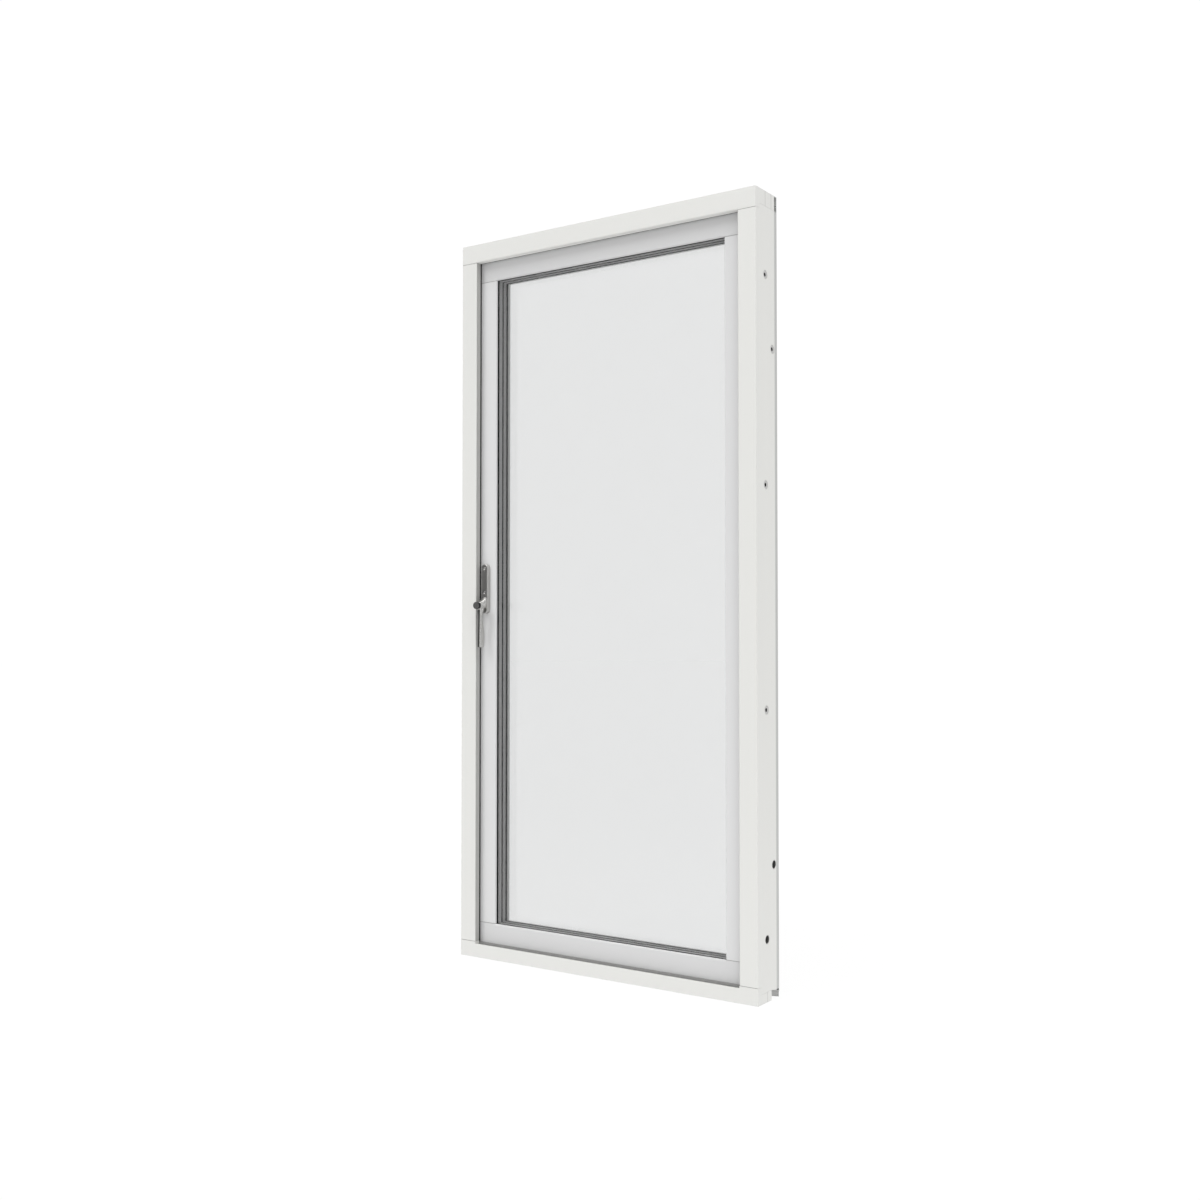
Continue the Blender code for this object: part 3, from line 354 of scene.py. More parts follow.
MATERIALS = {
    "frame_head": painted_timber("frame_paint_head", "X", FRAME_WHITE, GLUE_LINES),
    "frame_sill": painted_timber(
        "frame_paint_sill", "X", FRAME_WHITE, GLUE_LINES[:1], reveal=SILL_REVEAL_SHADE
    ),
    "frame_jamb": painted_timber(
        "frame_paint_jamb", "Z", FRAME_WHITE, seams=FRAME_SEAMS, reveal=JAMB_REVEAL_SHADE
    ),
    # The sash paints use whites darkened as painted shade.
    "sash_rail": painted_timber("sash_paint_rail_shaded", "X", RAIL_WHITE_SHADED),
    "sash_stile": painted_timber("sash_paint_stile_shaded", "Z", STILE_WHITE_SHADED, seams=SASH_SEAMS),
    "cladding": powder_coat("powder_coat", (0.53, 0.54, 0.53)),
    "drip": extruded_aluminium("drip_aluminium", (0.46, 0.465, 0.455)),
    "drip_plug": moulded_plastic("drip_plug", (0.36, 0.36, 0.355), 0.55),
    "rubber": rubber("dark_rubber", (0.018, 0.018, 0.018)),
    # The sill seal's grey is partly its rubber and partly painted shade in the gap under the sash.
    "grey_rubber_shade": rubber("grey_rubber_shade", (0.24, 0.24, 0.235)),
    "spacer_inner": edge_spacer("spacer_inner", NEAR_SEAL),
    # Its far black line is widened as painted shade.
    "spacer_outer": edge_spacer("spacer_outer", OUTER_SEAL_AND_SHADE),
    "glass": clear_glass(),
    "white_plastic": moulded_plastic("white_plastic", (0.60, 0.60, 0.59), 0.5),
    "black_plastic": moulded_plastic("black_plastic", (0.02, 0.02, 0.021), 0.35),
    # A dark grey plastic, lighter than the black: the button's face beside its side's painted
    # shade, and painted shade deep in the sleeves' dishes.
    "button_face": moulded_plastic("button_face", (0.085, 0.085, 0.083), 0.5),
    "satin": satin_metal("satin_metal", 0.18),
    "satin_plate": satin_metal("satin_plate", 0.36),
    "zinc": zinc_plate(),
}


# Mesh helpers ----------------------------------------------------------------

ROUND_STEPS = 64
SMOOTH_BELOW = 35


def new_piece(name, bm, finish, smooth_angle):
    """Make a mesh into a piece with its finish, smooth but for its sharp edges."""
    bmesh.ops.recalc_face_normals(bm, faces=bm.faces)
    mesh = bpy.data.meshes.new(name)
    bm.to_mesh(mesh)
    bm.free()
    piece = bpy.data.objects.new(name, mesh)
    bpy.context.scene.collection.objects.link(piece)
    mesh.materials.append(MATERIALS[finish])
    mesh.shade_smooth()
    mesh.set_sharp_from_angle(angle=math.radians(smooth_angle))
    return piece


def loft(name, rings, finish, closed=False, smooth_angle=SMOOTH_BELOW):
    """A skin through matching rings, with flat ends unless the rings close on themselves."""
    bm = bmesh.new()
    loops = [[bm.verts.new(point) for point in ring] for ring in rings]
    pairs = list(zip(loops, loops[1:]))
    if closed:
        pairs.append((loops[-1], loops[0]))
    else:
        bm.faces.new(loops[0])
        bm.faces.new(loops[-1])
    for lower, upper in pairs:
        for k, vertex in enumerate(lower):
            after = (k + 1) % len(lower)
            bm.faces.new((vertex, lower[after], upper[after], upper[k]))
    return new_piece(name, bm, finish, smooth_angle)


def arc(centre, radius, start, end, steps):
    """Points on an arc from one angle to another, in degrees."""
    angles = [math.radians(start + (end - start) * k / steps) for k in range(steps + 1)]
    return [(centre[0] + radius * math.cos(a), centre[1] + radius * math.sin(a)) for a in angles]


AXIS_PLACES = {
    "X": lambda centre, a, b, along: (along, centre.y + a, centre.z + b),
    "Y": lambda centre, a, b, along: (centre.x + a, along, centre.z + b),
    "Z": lambda centre, a, b, along: (centre.x + a, centre.y + b, along),
}


def turned(name, axis, centre, profile, finish, closed=False, steps=ROUND_STEPS):
    """A round piece about an axis, from (position along the axis, radius) pairs."""
    place = AXIS_PLACES[axis]
    rings = []
    for along, radius in profile:
        circle = arc((0, 0), radius, 0, 360, steps)[:-1]
        rings.append([place(centre, a, b, along) for a, b in circle])
    return loft(name, rings, finish, closed)


def middle(node):
    """The middle of a node's box."""
    low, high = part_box(node)
    return (low + high) / 2


def apply_modifiers(piece):
    """Replace the mesh by its modified form."""
    graph = bpy.context.evaluated_depsgraph_get()
    mesh = bpy.data.meshes.new_from_object(piece.evaluated_get(graph))
    piece.modifiers.clear()
    piece.data = mesh


def combine(piece, operation, tools):
    """Apply a Boolean of each tool to the piece and remove the tools."""
    for tool in tools:
        step = piece.modifiers.new(tool.name, "BOOLEAN")
        step.operation = operation
        step.object = tool
    apply_modifiers(piece)
    for tool in tools:
        bpy.data.objects.remove(tool)


def stand_for(piece, node, body):
    """Let the piece take a CAD node's place on its body."""
    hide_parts(node)
    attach(piece, body)


# Carried-over CAD nodes ------------------------------------------------------

ARRIS_TIMBER = 0.9 * MM
ARRIS_METAL = 0.25 * MM
ARRIS_GLASS = 0.3 * MM
ARRIS_HINGE = 0.15 * MM
ARRIS_LOCK = 0.1 * MM
ARRIS_SEAL = 0.2 * MM
JOIN_WITHIN = 0.01 * MM
FLAT_WITHIN = 0.5
TIMBER = ("frame_head", "frame_sill", "frame_jamb", "sash_rail", "sash_stile")
SIDES = ("left", "right", "foot", "top")
LOCK_PARTS = ("keep_", "bolt_", "gearbox", "drive_rack", "espagnolette")
HINGE_PARTS = ("hinge_frame", "hinge_sash", "cam_", "handle_spindle")


def soften(node, finish, width, segments=3):
    """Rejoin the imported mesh, soften its arrises and give it its finish."""
    piece = NODES[node]
    weld = piece.modifiers.new("weld", "WELD")
    weld.merge_threshold = JOIN_WITHIN
    planar = piece.modifiers.new("planar", "DECIMATE")
    planar.decimate_type = "DISSOLVE"
    planar.angle_limit = math.radians(FLAT_WITHIN)
    bevel = piece.modifiers.new("arris", "BEVEL")
    bevel.width = width
    bevel.segments = segments
    bevel.limit_method = "ANGLE"
    bevel.angle_limit = math.radians(SMOOTH_BELOW)
    bevel.harden_normals = True
    piece.data.materials.clear()
    piece.data.materials.append(MATERIALS[finish])


def finish_nodes():
    """Give every carried-over node its softened arrises and its finish."""
    for node in NODES:
        member = node.rsplit("_", 1)[0] if node.endswith(SIDES) else node
        if member in TIMBER:
            soften(node, member, ARRIS_TIMBER)
        elif "cladding" in node:
            soften(node, "cladding", ARRIS_METAL)
        elif node.startswith("pane_"):
            soften(node, "glass", ARRIS_GLASS, 2)
        elif node.startswith("spacer_"):
            soften(node, node, ARRIS_METAL)
        elif node.startswith("setting_block"):
            soften(node, "black_plastic", ARRIS_METAL)
        elif node.startswith(LOCK_PARTS):
            soften(node, "zinc", ARRIS_LOCK, 2)
        elif node.startswith(HINGE_PARTS):
            soften(node, "zinc", ARRIS_HINGE, 2)
    soften("drip_sill", "drip", ARRIS_METAL)
    # The sill seal's grey is partly rubber and partly painted shade.
    soften("frame_gasket_sill", "grey_rubber_shade", ARRIS_SEAL, 2)


# Fixing sleeves and bushes ---------------------------------------------------

SLEEVE_BORE = 4.5 * MM
BORE_EDGE = 0.6
# Painted shade in the hole: the bore's faces are black, the dish's deeper faces dark grey.
SHADE_BORE = 0.2 * MM
SHADE_WALL = 1 * MM
SHADE_DEPTH = 2 * MM
DEEP_SLEEVES = ("_1", "_lower")

# A sleeve's profile in mm: rims and walls as (depth behind the outer face, step in from the
# radius), floors as (depth behind the outer face, step out from the bore).
RIM = ((0.7, 0), (0.1, 0.5), (0.1, 1.3))
SHALLOW_WALL = ((1.5, 1.9),)
SHALLOW_FLOOR = ((1.7, 1.6), (0.8, 1.1), (0.8, 0.5))
DEEP_RIM = ((0.7, 0), (0.1, 0.4), (0.1, 0.8))
DEEP_WALL = ((0.6, 1.2), (7.0, 1.6))
DEEP_FLOOR = ((7.6, 0.5),)


def sleeve_stages(node, radius):
    """The (depth in mm, radius) pairs from a sleeve's rim to the edge of its bore."""
    if node.endswith(DEEP_SLEEVES):
        outside, floor = DEEP_RIM + DEEP_WALL, DEEP_FLOOR
    else:
        outside, floor = RIM + SHALLOW_WALL, SHALLOW_FLOOR
    stages = [(depth, radius - step * MM) for depth, step in outside]
    stages += [(depth, SLEEVE_BORE + step * MM) for depth, step in floor]
    return stages + [(floor[-1][0] + BORE_EDGE, SLEEVE_BORE)]


def sleeve(node):
    """A moulded bush with a chamfered rim and a dished face round its bore, with painted shade:
    black in the bore and dark grey deep in the dish.
    """
    low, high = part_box(node)
    side = 1 if low.x > 0 else -1
    outer, inner = (high.x, low.x) if side > 0 else (low.x, high.x)
    radius = (high.z - low.z) / 2
    profile = [(inner, radius)]
    profile += [(outer - side * depth * MM, r) for depth, r in sleeve_stages(node, radius)]
    profile.append((inner, SLEEVE_BORE))
    centre = middle(node)
    made = turned(node + "_moulded", "X", centre, profile, "white_plastic", closed=True)
    made.data.materials.append(MATERIALS["button_face"])
    made.data.materials.append(MATERIALS["black_plastic"])
    # Painted shade: black on the bore, dark grey on the dish's deeper faces.
    for face in made.data.polygons:
        away = math.hypot(face.center.y - centre.y, face.center.z - centre.z)
        if away < SLEEVE_BORE + SHADE_BORE:
            face.material_index = 2
        elif away < radius - SHADE_WALL and abs(face.center.x - outer) > SHADE_DEPTH:
            face.material_index = 1
    stand_for(made, node, "frame")


# Handle ----------------------------------------------------------------------

LEVER_STEPS = 4
NECK_POWER = 2.5
BLEND_VOXEL = 0.35 * MM
BLEND_SHARE = 0.5
BLEND_PASSES = 3
LEVER_SMOOTH_BELOW = 50
BUTTON_BORE = 4.4 * MM
BUTTON_BORE_START = 40 * MM
BUTTON_BORE_END = 9.9 * MM
BUTTON_STEM = 4.1 * MM

# The neck from its seat to its front, in mm: depth, half width, half height, rise of the middle.
NECK = (
    (0.0, 9.0, 15.3, 117.6),
    (5.4, 9.0, 13.6, 115.2),
    (11.4, 9.0, 11.9, 112.9),
    (16.4, 9.2, 10.6, 111.0),
    (20.4, 9.5, 9.9, 109.9),
    (23.6, 9.5, 9.5, 109.5),
    (24.4, 9.0, 9.0, 109.5),
)

# The blade from the neck to its end, in mm: rise, half width, front, back, corner radius.
BLADE = (
    (115, 7.0, 22.0, 3.4, 2.2),
    (106, 6.6, 22.2, 5.0, 2.2),
    (97, 5.0, 21.8, 7.8, 1.8),
    (87, 3.8, 21.3, 9.6, 1.4),
    (75, 3.3, 21.4, 9.5, 1.1),
    (64, 3.2, 21.6, 7.7, 1.0),
    (53, 3.2, 21.8, 5.0, 1.0),
    (39, 3.2, 22.2, 2.5, 1.0),
    (26, 3.2, 22.5, 1.6, 1.0),
    (13, 3.2, 22.8, 2.4, 1.0),
    (1, 3.2, 23.0, 4.0, 1.0),
    (0, 2.9, 22.7, 4.3, 0.9),
)


def curve_point(t, p0, p1, p2, p3):
    """The point a share t of the way from p1 to p2 on a Catmull-Rom curve."""
    point = 2 * p1 + t * (p2 - p0) + t * t * (2 * p0 - 5 * p1 + 4 * p2 - p3)
    return (point + t ** 3 * (3 * p1 - p0 - 3 * p2 + p3)) / 2


def smooth_rings(rings, between):
    """More rings between the given ones, on a smooth curve through each point."""
    rings = [[Vector(point) for point in ring] for ring in rings]
    out = []
    for k in range(len(rings) - 1):
        four = [rings[min(max(k + step, 0), len(rings) - 1)] for step in (-1, 0, 1, 2)]
        for part in range(between):
            out.append([curve_point(part / between, *points) for points in zip(*four)])
    return out + [rings[-1]]


def rounded_box(half_x, low, high, radius, steps=5):
    """A box with rounded corners, as (across, depth) points."""
    points = []
    for x, y, start in ((1, 1, 0), (-1, 1, 90), (-1, -1, 180), (1, -1, 270)):
        centre = (x * (half_x - radius), (high - radius) if y > 0 else (low + radius))
        points += arc(centre, radius, start, start + 90, steps)
    return points


def squared_circle(power, steps):
    """A circle of radius 1 drawn out towards its corners, as (across, up) points."""
    points = []
    for a, b in arc((0, 0), 1, 0, 360, steps)[:-1]:
        stretch = (abs(a) ** power + abs(b) ** power) ** (-1 / power)
        points.append((a * stretch, b * stretch))
    return points


def neck_rings(x, seat, end):
    """The neck's squared ovals, from its seat on the plate to its front."""
    outline = squared_circle(NECK_POWER, ROUND_STEPS)
    rings = []
    for depth, half_x, half_z, rise in NECK:
        y = seat - depth * MM
        ring = [(x + a * half_x * MM, y, end + (rise + b * half_z) * MM) for a, b in outline]
        rings.append(ring)
    return rings


def blade_rings(x, seat, end):
    """The blade's rounded sections, from the neck down to its end."""
    rings = []
    for rise, half_x, front, back, radius in BLADE:
        section = rounded_box(half_x, -front, -back, radius)
        rings.append([(x + a * MM, seat + b * MM, end + rise * MM) for a, b in section])
    return rings


def blend(piece):
    """Run the joint of two united shapes into one skin."""
    remesh = piece.modifiers.new("remesh", "REMESH")
    remesh.mode = "VOXEL"
    remesh.voxel_size = BLEND_VOXEL
    smooth = piece.modifiers.new("smooth", "SMOOTH")
    smooth.factor = BLEND_SHARE
    smooth.iterations = BLEND_PASSES
    apply_modifiers(piece)


def lever():
    """The cast lever: a squared oval neck that leans down into a deep, narrow blade."""
    low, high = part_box("handle_lever")
    x = (low.x + high.x) / 2
    seat = high.y
    cast = loft("lever_cast", smooth_rings(neck_rings(x, seat, low.z), LEVER_STEPS), "satin")
    blade = loft("blade", smooth_rings(blade_rings(x, seat, low.z), LEVER_STEPS), "satin")
    combine(cast, "UNION", [blade])
    blend(cast)
    bore = [(seat - depth, BUTTON_BORE) for depth in (BUTTON_BORE_START, BUTTON_BORE_END)]
    combine(cast, "DIFFERENCE", [turned("bore", "Y", middle("push_button"), bore, "satin")])
    cast.data.shade_smooth()
    cast.data.set_sharp_from_angle(angle=math.radians(LEVER_SMOOTH_BELOW))
    stand_for(cast, "handle_lever", "handle")


# The button's face, as (depth of the dish in mm, share of the radius), and its rim and skirt.
BUTTON_DISH = ((0.35, 0.0), (0.3, 0.35), (0.12, 0.68), (0.0, 0.82))
BUTTON_TIP = 0.02 * MM
BUTTON_RIM = 0.9 * MM
BUTTON_SKIRT = 7 * MM
BUTTON_EASE = 0.4 * MM
BUTTON_FACE_DEPTH = 0.5 * MM


def push_button():
    """A turned cap with a slightly dished face, a soft rim and a guide stem; its side is blacker
    than its face, as painted shade.
    """
    low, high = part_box("push_button")
    radius = (high.z - low.z) / 2
    front = low.y
    skirt = front + BUTTON_SKIRT
    profile = [(front + dish * MM, max(share * radius, BUTTON_TIP)) for dish, share in BUTTON_DISH]
    profile += arc((front + BUTTON_RIM, radius - BUTTON_RIM), BUTTON_RIM, 180, 90, 6)
    profile += [(skirt - BUTTON_EASE, radius), (skirt, radius - BUTTON_EASE)]
    profile += [(skirt, BUTTON_STEM), (high.y - BUTTON_EASE, BUTTON_STEM)]
    profile.append((high.y, BUTTON_STEM - BUTTON_EASE))
    made = turned("button_cap", "Y", middle("push_button"), profile, "black_plastic")
    made.data.materials.append(MATERIALS["button_face"])
    # The face gets a lighter grey than the black side, so that the side shows painted shade.
    for face in made.data.polygons:
        if face.center.y < front + BUTTON_FACE_DEPTH:
            face.material_index = 1
    stand_for(made, "push_button", "button")


def stadium(x, low, high, radius, steps=32):
    """An upright outline with half-round ends, as (x, z) points."""
    ends = (high - radius, low + radius)
    return arc((x, ends[0]), radius, 0, 180, steps) + arc((x, ends[1]), radius, 180, 360, steps)


PLATE_SCREWS = ("backplate_screw_lower", "backplate_screw_upper")
PLATE_EDGE = 1.8 * MM
SINK_RADIUS = 4.7 * MM
SINK_DEPTH = 3.1 * MM
PILOT_RADIUS = 2.7 * MM
BEARING_RADIUS = 6.4 * MM
CUT_PAST = 2 * MM


def plate_rings(low, high):
    """The plate's outlines from its back to the end of its rounded front edge."""
    x = (low.x + high.x) / 2
    half = (high.x - low.x) / 2
    insets = [(high.y, 0.0), (low.y + PLATE_EDGE, 0.0)]
    for degrees in range(15, 91, 15):
        t = math.radians(degrees)
        insets.append((low.y + PLATE_EDGE * (1 - math.sin(t)), PLATE_EDGE * (1 - math.cos(t))))
    rings = []
    for y, inset in insets:
        points = stadium(x, low.z + inset, high.z - inset, half - inset)
        rings.append([(a, y, b) for a, b in points])
    return rings


def backplate():
    """The plate behind the lever, with a rounded front edge and countersunk screw holes."""
    low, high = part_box("handle_backplate")
    plate = loft("backplate_cast", plate_rings(low, high), "satin_plate")
    start = low.y - CUT_PAST
    floor = low.y + SINK_DEPTH
    end = high.y + CUT_PAST
    sunk = [(start, SINK_RADIUS), (floor, SINK_RADIUS), (floor, PILOT_RADIUS), (end, PILOT_RADIUS)]
    cutters = [turned("sink", "Y", middle(node), sunk, "satin") for node in PLATE_SCREWS]
    bearing = [(start, BEARING_RADIUS), (end, BEARING_RADIUS)]
    cutters.append(turned("bearing", "Y", middle("handle_spindle"), bearing, "satin"))
    combine(plate, "DIFFERENCE", cutters)
    plate.data.shade_smooth()
    plate.data.set_sharp_from_angle(angle=math.radians(SMOOTH_BELOW))
    stand_for(plate, "handle_backplate", "sash")


# A screw's profile as (depth, radius) in mm: its head from the plate's face, its tip from its end.
SCREW_HEAD = ((0.4, 3.6), (0.7, 4.1), (1.3, 4.2), (2.4, 4.2), (2.4, 2.3))
SCREW_TIP = ((2.0, 2.3), (0.0, 0.8))
RECESS_LENGTH = 2.4 * MM
RECESS_WIDTH = 0.55 * MM
RECESS_START = 1 * MM
RECESS_DEPTH = 1.6 * MM
RECESS_TAPER = 0.55


def cross_recess(centre, y):
    """Two crossed bars that cut a screw's recess."""
    bars = []
    for half_x, half_z in ((RECESS_LENGTH, RECESS_WIDTH), (RECESS_WIDTH, RECESS_LENGTH)):
        outline = [(-half_x, -half_z), (half_x, -half_z), (half_x, half_z), (-half_x, half_z)]
        rings = []
        for position, share in ((y - RECESS_START, 1.0), (y + RECESS_DEPTH, RECESS_TAPER)):
            ring = [(centre.x + a * share, position, centre.z + b * share) for a, b in outline]
            rings.append(ring)
        bars.append(loft("recess", rings, "satin"))
    return bars


def plate_screw(node):
    """A countersunk screw with a rounded head and a crossed recess."""
    low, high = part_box(node)
    profile = [(low.y + depth * MM, radius * MM) for depth, radius in SCREW_HEAD]
    profile += [(high.y - depth * MM, radius * MM) for depth, radius in SCREW_TIP]
    screw = turned(node + "_turned", "Y", middle(node), profile, "satin", steps=40)
    combine(screw, "DIFFERENCE", cross_recess(middle(node), profile[0][0]))
    stand_for(screw, node, "sash")


# Rubber profiles -------------------------------------------------------------

FOOT_SHARE = 0.34
FOOT_EDGE = 0.8
BULB_SWEEP = (-40, 220)
LIP_WIDTH = 11 * MM
LIP_RADIUS = 1.1 * MM
LIP_FLAT = 0.05 * MM


def seal_profile(width, height):
    """A seal's section: a flat foot and a round bulb, as (across, along the depth) points."""
    foot = FOOT_SHARE * height
    edge = FOOT_EDGE * foot
    radius = min(width, height - foot) / 2
    bulb = arc((width / 2, foot + (height - foot) / 2), radius, *BULB_SWEEP, steps=14)
    return [(0, 0), (width, 0), (width, edge)] + bulb + [(0, edge)]


def side_seal(node, along):
    """A bulb seal that stands for a straight frame gasket."""
    low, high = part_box(node)
    if along == "X":
        section = seal_profile(high.z - low.z, high.y - low.y)
        rings = [[(x, low.y + b, low.z + a) for a, b in section] for x in (low.x, high.x)]
    else:
        section = seal_profile(high.x - low.x, high.y - low.y)
        rings = [[(low.x + a, low.y + b, z) for a, b in section] for z in (low.z, high.z)]
    made = loft(node + "_bulb", rings, "rubber")
    stand_for(made, node, "frame")


def glazing_seal(node):
    """A seal round the pane whose lip is rounded where it shows."""
    low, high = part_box(node)
    radius = min((high.y - low.y) / 2 - LIP_FLAT, LIP_RADIUS)
    section = [(-LIP_WIDTH, low.y), (-LIP_WIDTH, high.y)]
    section += arc((-radius, high.y - radius), radius, 90, 0, 6)
    section += arc((-radius, low.y + radius), radius, 0, -90, 6)
    rings = []
    for x_sign, z_sign in ((-1, -1), (1, -1), (1, 1), (-1, 1)):
        ring = []
        for inset, y in section:
            step = LIP_WIDTH + inset
            z = high.z - step if z_sign > 0 else low.z + step
            ring.append(((high.x - step) * x_sign, y, z))
        rings.append(ring)
    made = loft(node + "_lip", rings, "rubber", closed=True)
    stand_for(made, node, "sash")


# Drip sill -------------------------------------------------------------------

PLUG_NEAR_WALL = 2.2 * MM
PLUG_FAR_WALL = 4.2 * MM

# Heights of the plug's top and foot, at the wall near the sash and at the far one.
PLUG_NEAR_HEIGHTS = (19.8 * MM, 11.2 * MM)
PLUG_FAR_HEIGHTS = (14.1 * MM, 3.5 * MM)

# Its rings, as (depth into the sill, bevel) pairs.
PLUG_STAGES = ((0.3 * MM, 0.5 * MM), (0.9 * MM, 0.0), (6 * MM, 0.0))


def drip_end_plug(side):
    """A moulded plug in the open end of the hollow sill, just short of its end."""
    low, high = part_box("drip_sill")
    near = low.y + PLUG_NEAR_WALL
    far = high.y - PLUG_FAR_WALL
    near_top, near_foot = PLUG_NEAR_HEIGHTS
    far_top, far_foot = PLUG_FAR_HEIGHTS
    outline = [(near, near_top), (far, far_top), (far, far_foot), (near, near_foot)]
    corners = [Vector(corner) for corner in outline]
    centre = sum(corners, Vector((0, 0))) / len(corners)
    rings = []
    for inward, bevel in PLUG_STAGES:
        points = [corner + (centre - corner).normalized() * bevel for corner in corners]
        rings.append([(side * (high.x - inward), *point) for point in points])
    name = "drip_plug_left" if side < 0 else "drip_plug_right"
    made = loft(name, rings, "drip_plug", smooth_angle=20)
    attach(made, "frame")


# Hinge pins ------------------------------------------------------------------

PIN_RADIUS = 3 * MM
PIN_EASE = 0.4 * MM
CAP_RADIUS = 4.6 * MM
CAP_HEIGHT = 2.4 * MM
CAP_TIP = 0.05 * MM

# The cap's dome, as (depth below its top in mm, share of its radius).
CAP_DOME = ((1.4, 1.0), (0.6, 0.85), (0.15, 0.5))


def hinge_pin(node):
    """A smooth pin with a domed cap."""
    low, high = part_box(node)
    seat = high.z - CAP_HEIGHT
    profile = [(low.z, PIN_RADIUS - PIN_EASE), (low.z + PIN_EASE, PIN_RADIUS)]
    profile += [(seat, PIN_RADIUS), (seat, CAP_RADIUS)]
    profile += [(high.z - depth * MM, share * CAP_RADIUS) for depth, share in CAP_DOME]
    profile.append((high.z, CAP_TIP))
    made = turned(node + "_turned", "Z", middle(node), profile, "zinc", steps=48)
    stand_for(made, node, "frame")


# Stage -----------------------------------------------------------------------

CAMERA_PLACE = (1.86755, -2.74910, 0.84313)
CAMERA_TILT = 91.507
CAMERA_TURN = 34.441
CAMERA_LENS = 40
SENSOR = 36
FLOOR_GREY = (0.06, 0.06, 0.06, 1)
FLOOR_ROUGHNESS = 0.9
FLOOR_GLOW = 0.95
FLOOR_RADIUS = 40
FLOOR_CLEARANCE = 0.5 * MM
WHITE = (1, 1, 1, 1)
SEEN_WHITE = 1.02

# The studio's brightness by direction: towards, start and end of the change as cosines of the
# angle from that direction, and the brightness before and after it.
DIM_SIDE = ((-0.62, -0.78, 0), 0.45, 0.93, 0.72, 0.08)
GROUND = ((0, 0, -1), 0.12, 0.26, 0, 0.5)
OVERHEAD = ((-0.1, -0.3, 0.95), 0.92, 0.975, 0, 2.2)

# Each light: its name, the direction it comes from, its strength and its spread in degrees.
LIGHTS = (
    ("key", (-0.3, -0.66, 0.64), 0.79, 26),
    ("fill", (0.46, -0.39, 0.8), 0.42, 20),
)


def camera():
    """The view of the window from the room, from its right."""
    data = bpy.data.cameras.new("camera")
    data.lens = CAMERA_LENS
    data.sensor_width = SENSOR
    made = bpy.data.objects.new("camera", data)
    made.location = CAMERA_PLACE
    made.rotation_euler = (math.radians(CAMERA_TILT), 0, math.radians(CAMERA_TURN))
    bpy.context.scene.collection.objects.link(made)
    bpy.context.scene.camera = made


def floor():
    """A wide floor that glows an even near-white and does not show in reflections."""
    material = bpy.data.materials.new("pale_floor")
    material.use_nodes = True
    surface = material.node_tree.nodes["Principled BSDF"]
    surface.inputs["Base Color"].default_value = FLOOR_GREY
    surface.inputs["Roughness"].default_value = FLOOR_ROUGHNESS
    surface.inputs["Specular IOR Level"].default_value = 0.0
    surface.inputs["Emission Color"].default_value = WHITE
    surface.inputs["Emission Strength"].default_value = FLOOR_GLOW
    bm = bmesh.new()
    bmesh.ops.create_circle(bm, cap_ends=True, radius=FLOOR_RADIUS, segments=ROUND_STEPS)
    mesh = bpy.data.meshes.new("floor")
    bm.to_mesh(mesh)
    bm.free()
    made = bpy.data.objects.new("floor", mesh)
    made.location = (0, 0, -FLOOR_CLEARANCE)
    mesh.materials.append(material)
    made.visible_glossy = False
    bpy.context.scene.collection.objects.link(made)


def brightness(tree, towards, start, end, low, high):
    """One part of the studio's brightness, which changes with the angle from a direction."""
    direction = tree.nodes.new("ShaderNodeTexCoord")
    dot = tree.nodes.new("ShaderNodeVectorMath")
    dot.operation = "DOT_PRODUCT"
    dot.inputs[1].default_value = Vector(towards).normalized()
    tree.links.new(direction.outputs["Generated"], dot.inputs[0])
    ramp = tree.nodes.new("ShaderNodeMapRange")
    ramp.interpolation_type = "SMOOTHSTEP"
    ramp.inputs["From Min"].default_value = start
    ramp.inputs["From Max"].default_value = end
    ramp.inputs["To Min"].default_value = low
    ramp.inputs["To Max"].default_value = high
    tree.links.new(dot.outputs["Value"], ramp.inputs["Value"])
    return ramp.outputs["Result"]


def combined(tree, operation, first, second):
    """The sum or the larger of two values."""
    made = tree.nodes.new("ShaderNodeMath")
    made.operation = operation
    tree.links.new(first, made.inputs[0])
    tree.links.new(second, made.inputs[1])
    return made.outputs["Value"]


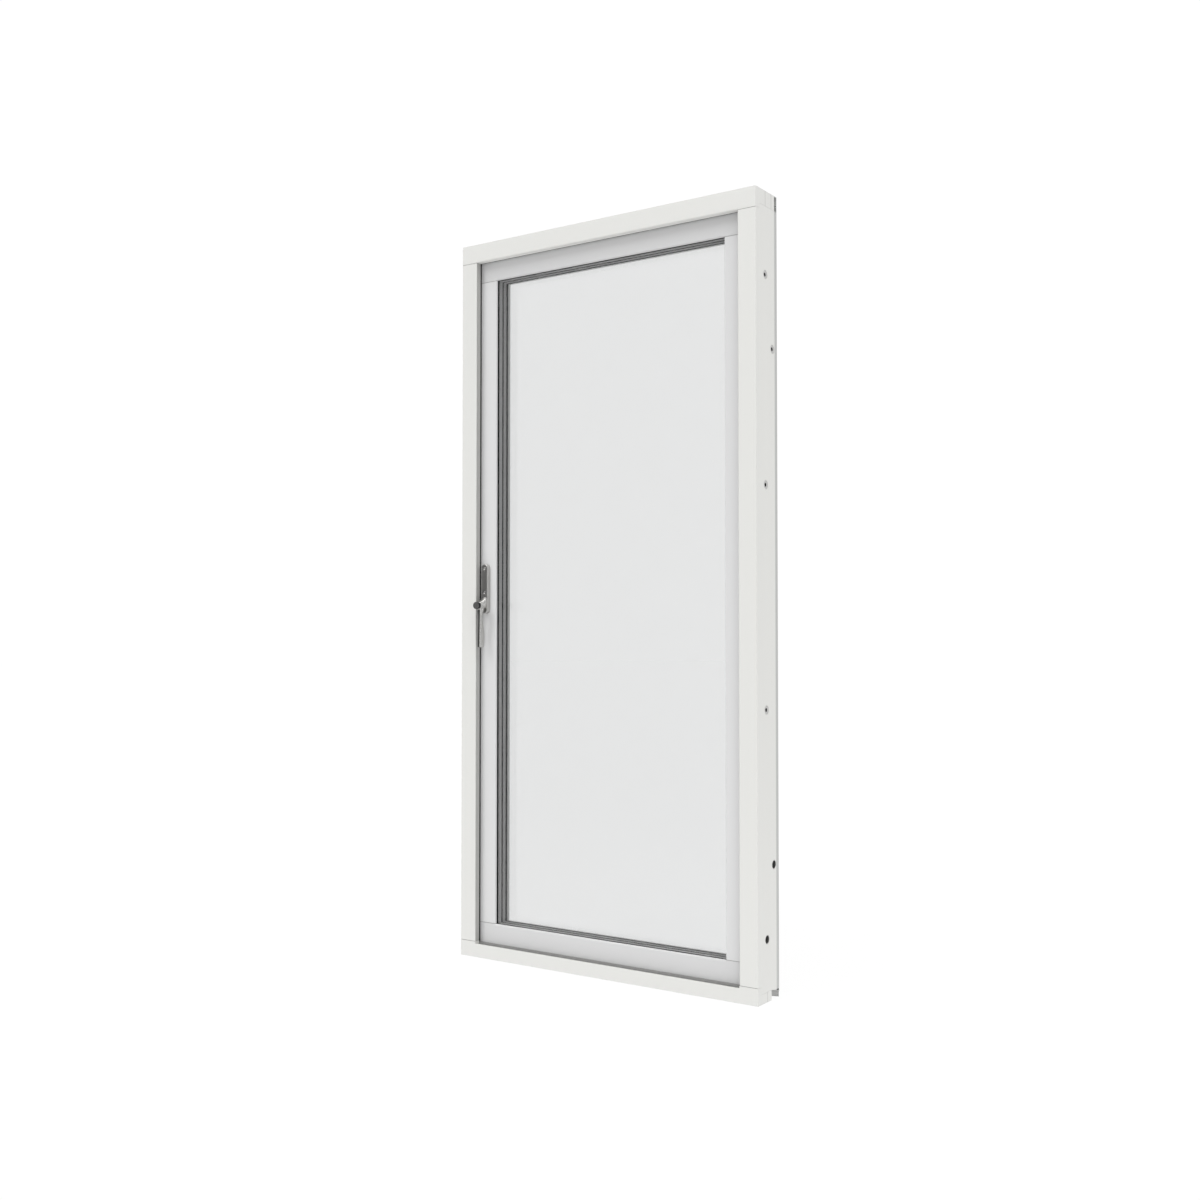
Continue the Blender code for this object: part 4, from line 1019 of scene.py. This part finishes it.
def world():
    """White where the camera looks through, and a studio with a dim side for reflections."""
    made = bpy.data.worlds.new("studio")
    bpy.context.scene.world = made
    made.use_nodes = True
    tree = made.node_tree
    tree.nodes.clear()
    link = tree.links.new
    total = brightness(tree, *DIM_SIDE)
    for part in (GROUND, OVERHEAD):
        total = combined(tree, "ADD", total, brightness(tree, *part))
    studio = tree.nodes.new("ShaderNodeBackground")
    link(total, studio.inputs["Strength"])
    white = tree.nodes.new("ShaderNodeBackground")
    white.inputs["Strength"].default_value = SEEN_WHITE
    for shade in (studio, white):
        shade.inputs["Color"].default_value = WHITE
    path = tree.nodes.new("ShaderNodeLightPath").outputs
    seen = combined(tree, "MAXIMUM", path["Is Camera Ray"], path["Is Transmission Ray"])
    mix = tree.nodes.new("ShaderNodeMixShader")
    link(seen, mix.inputs["Fac"])
    link(studio.outputs["Background"], mix.inputs[1])
    link(white.outputs["Background"], mix.inputs[2])
    output = tree.nodes.new("ShaderNodeOutputWorld")
    link(mix.outputs["Shader"], output.inputs["Surface"])


def soft_light(name, came_from, strength, spread):
    """Parallel light from one side of the studio, with shadows as soft as its spread."""
    data = bpy.data.lights.new(name, "SUN")
    data.energy = strength
    data.angle = math.radians(spread)
    made = bpy.data.objects.new(name, data)
    made.rotation_euler = (-Vector(came_from)).to_track_quat("-Z", "Y").to_euler()
    bpy.context.scene.collection.objects.link(made)


def stage():
    """Camera, floor, world and lights."""
    bpy.context.scene.view_settings.view_transform = "Standard"
    camera()
    floor()
    world()
    for light in LIGHTS:
        soft_light(*light)


def main():
    """Finish and replace the nodes and set the stage."""
    finish_nodes()
    for node in NODES:
        if node.startswith(("fixing_sleeve", "hinge_bush")):
            sleeve(node)
    lever()
    push_button()
    backplate()
    for node in PLATE_SCREWS:
        plate_screw(node)
    for side, along in (("head", "X"), ("left", "Z"), ("right", "Z")):
        side_seal("frame_gasket_" + side, along)
    for side in ("inner", "outer"):
        glazing_seal("glazing_gasket_" + side)
    for place in ("lower", "upper"):
        hinge_pin("hinge_pin_" + place)
    for side in (-1, 1):
        drip_end_plug(side)
    stage()


main()
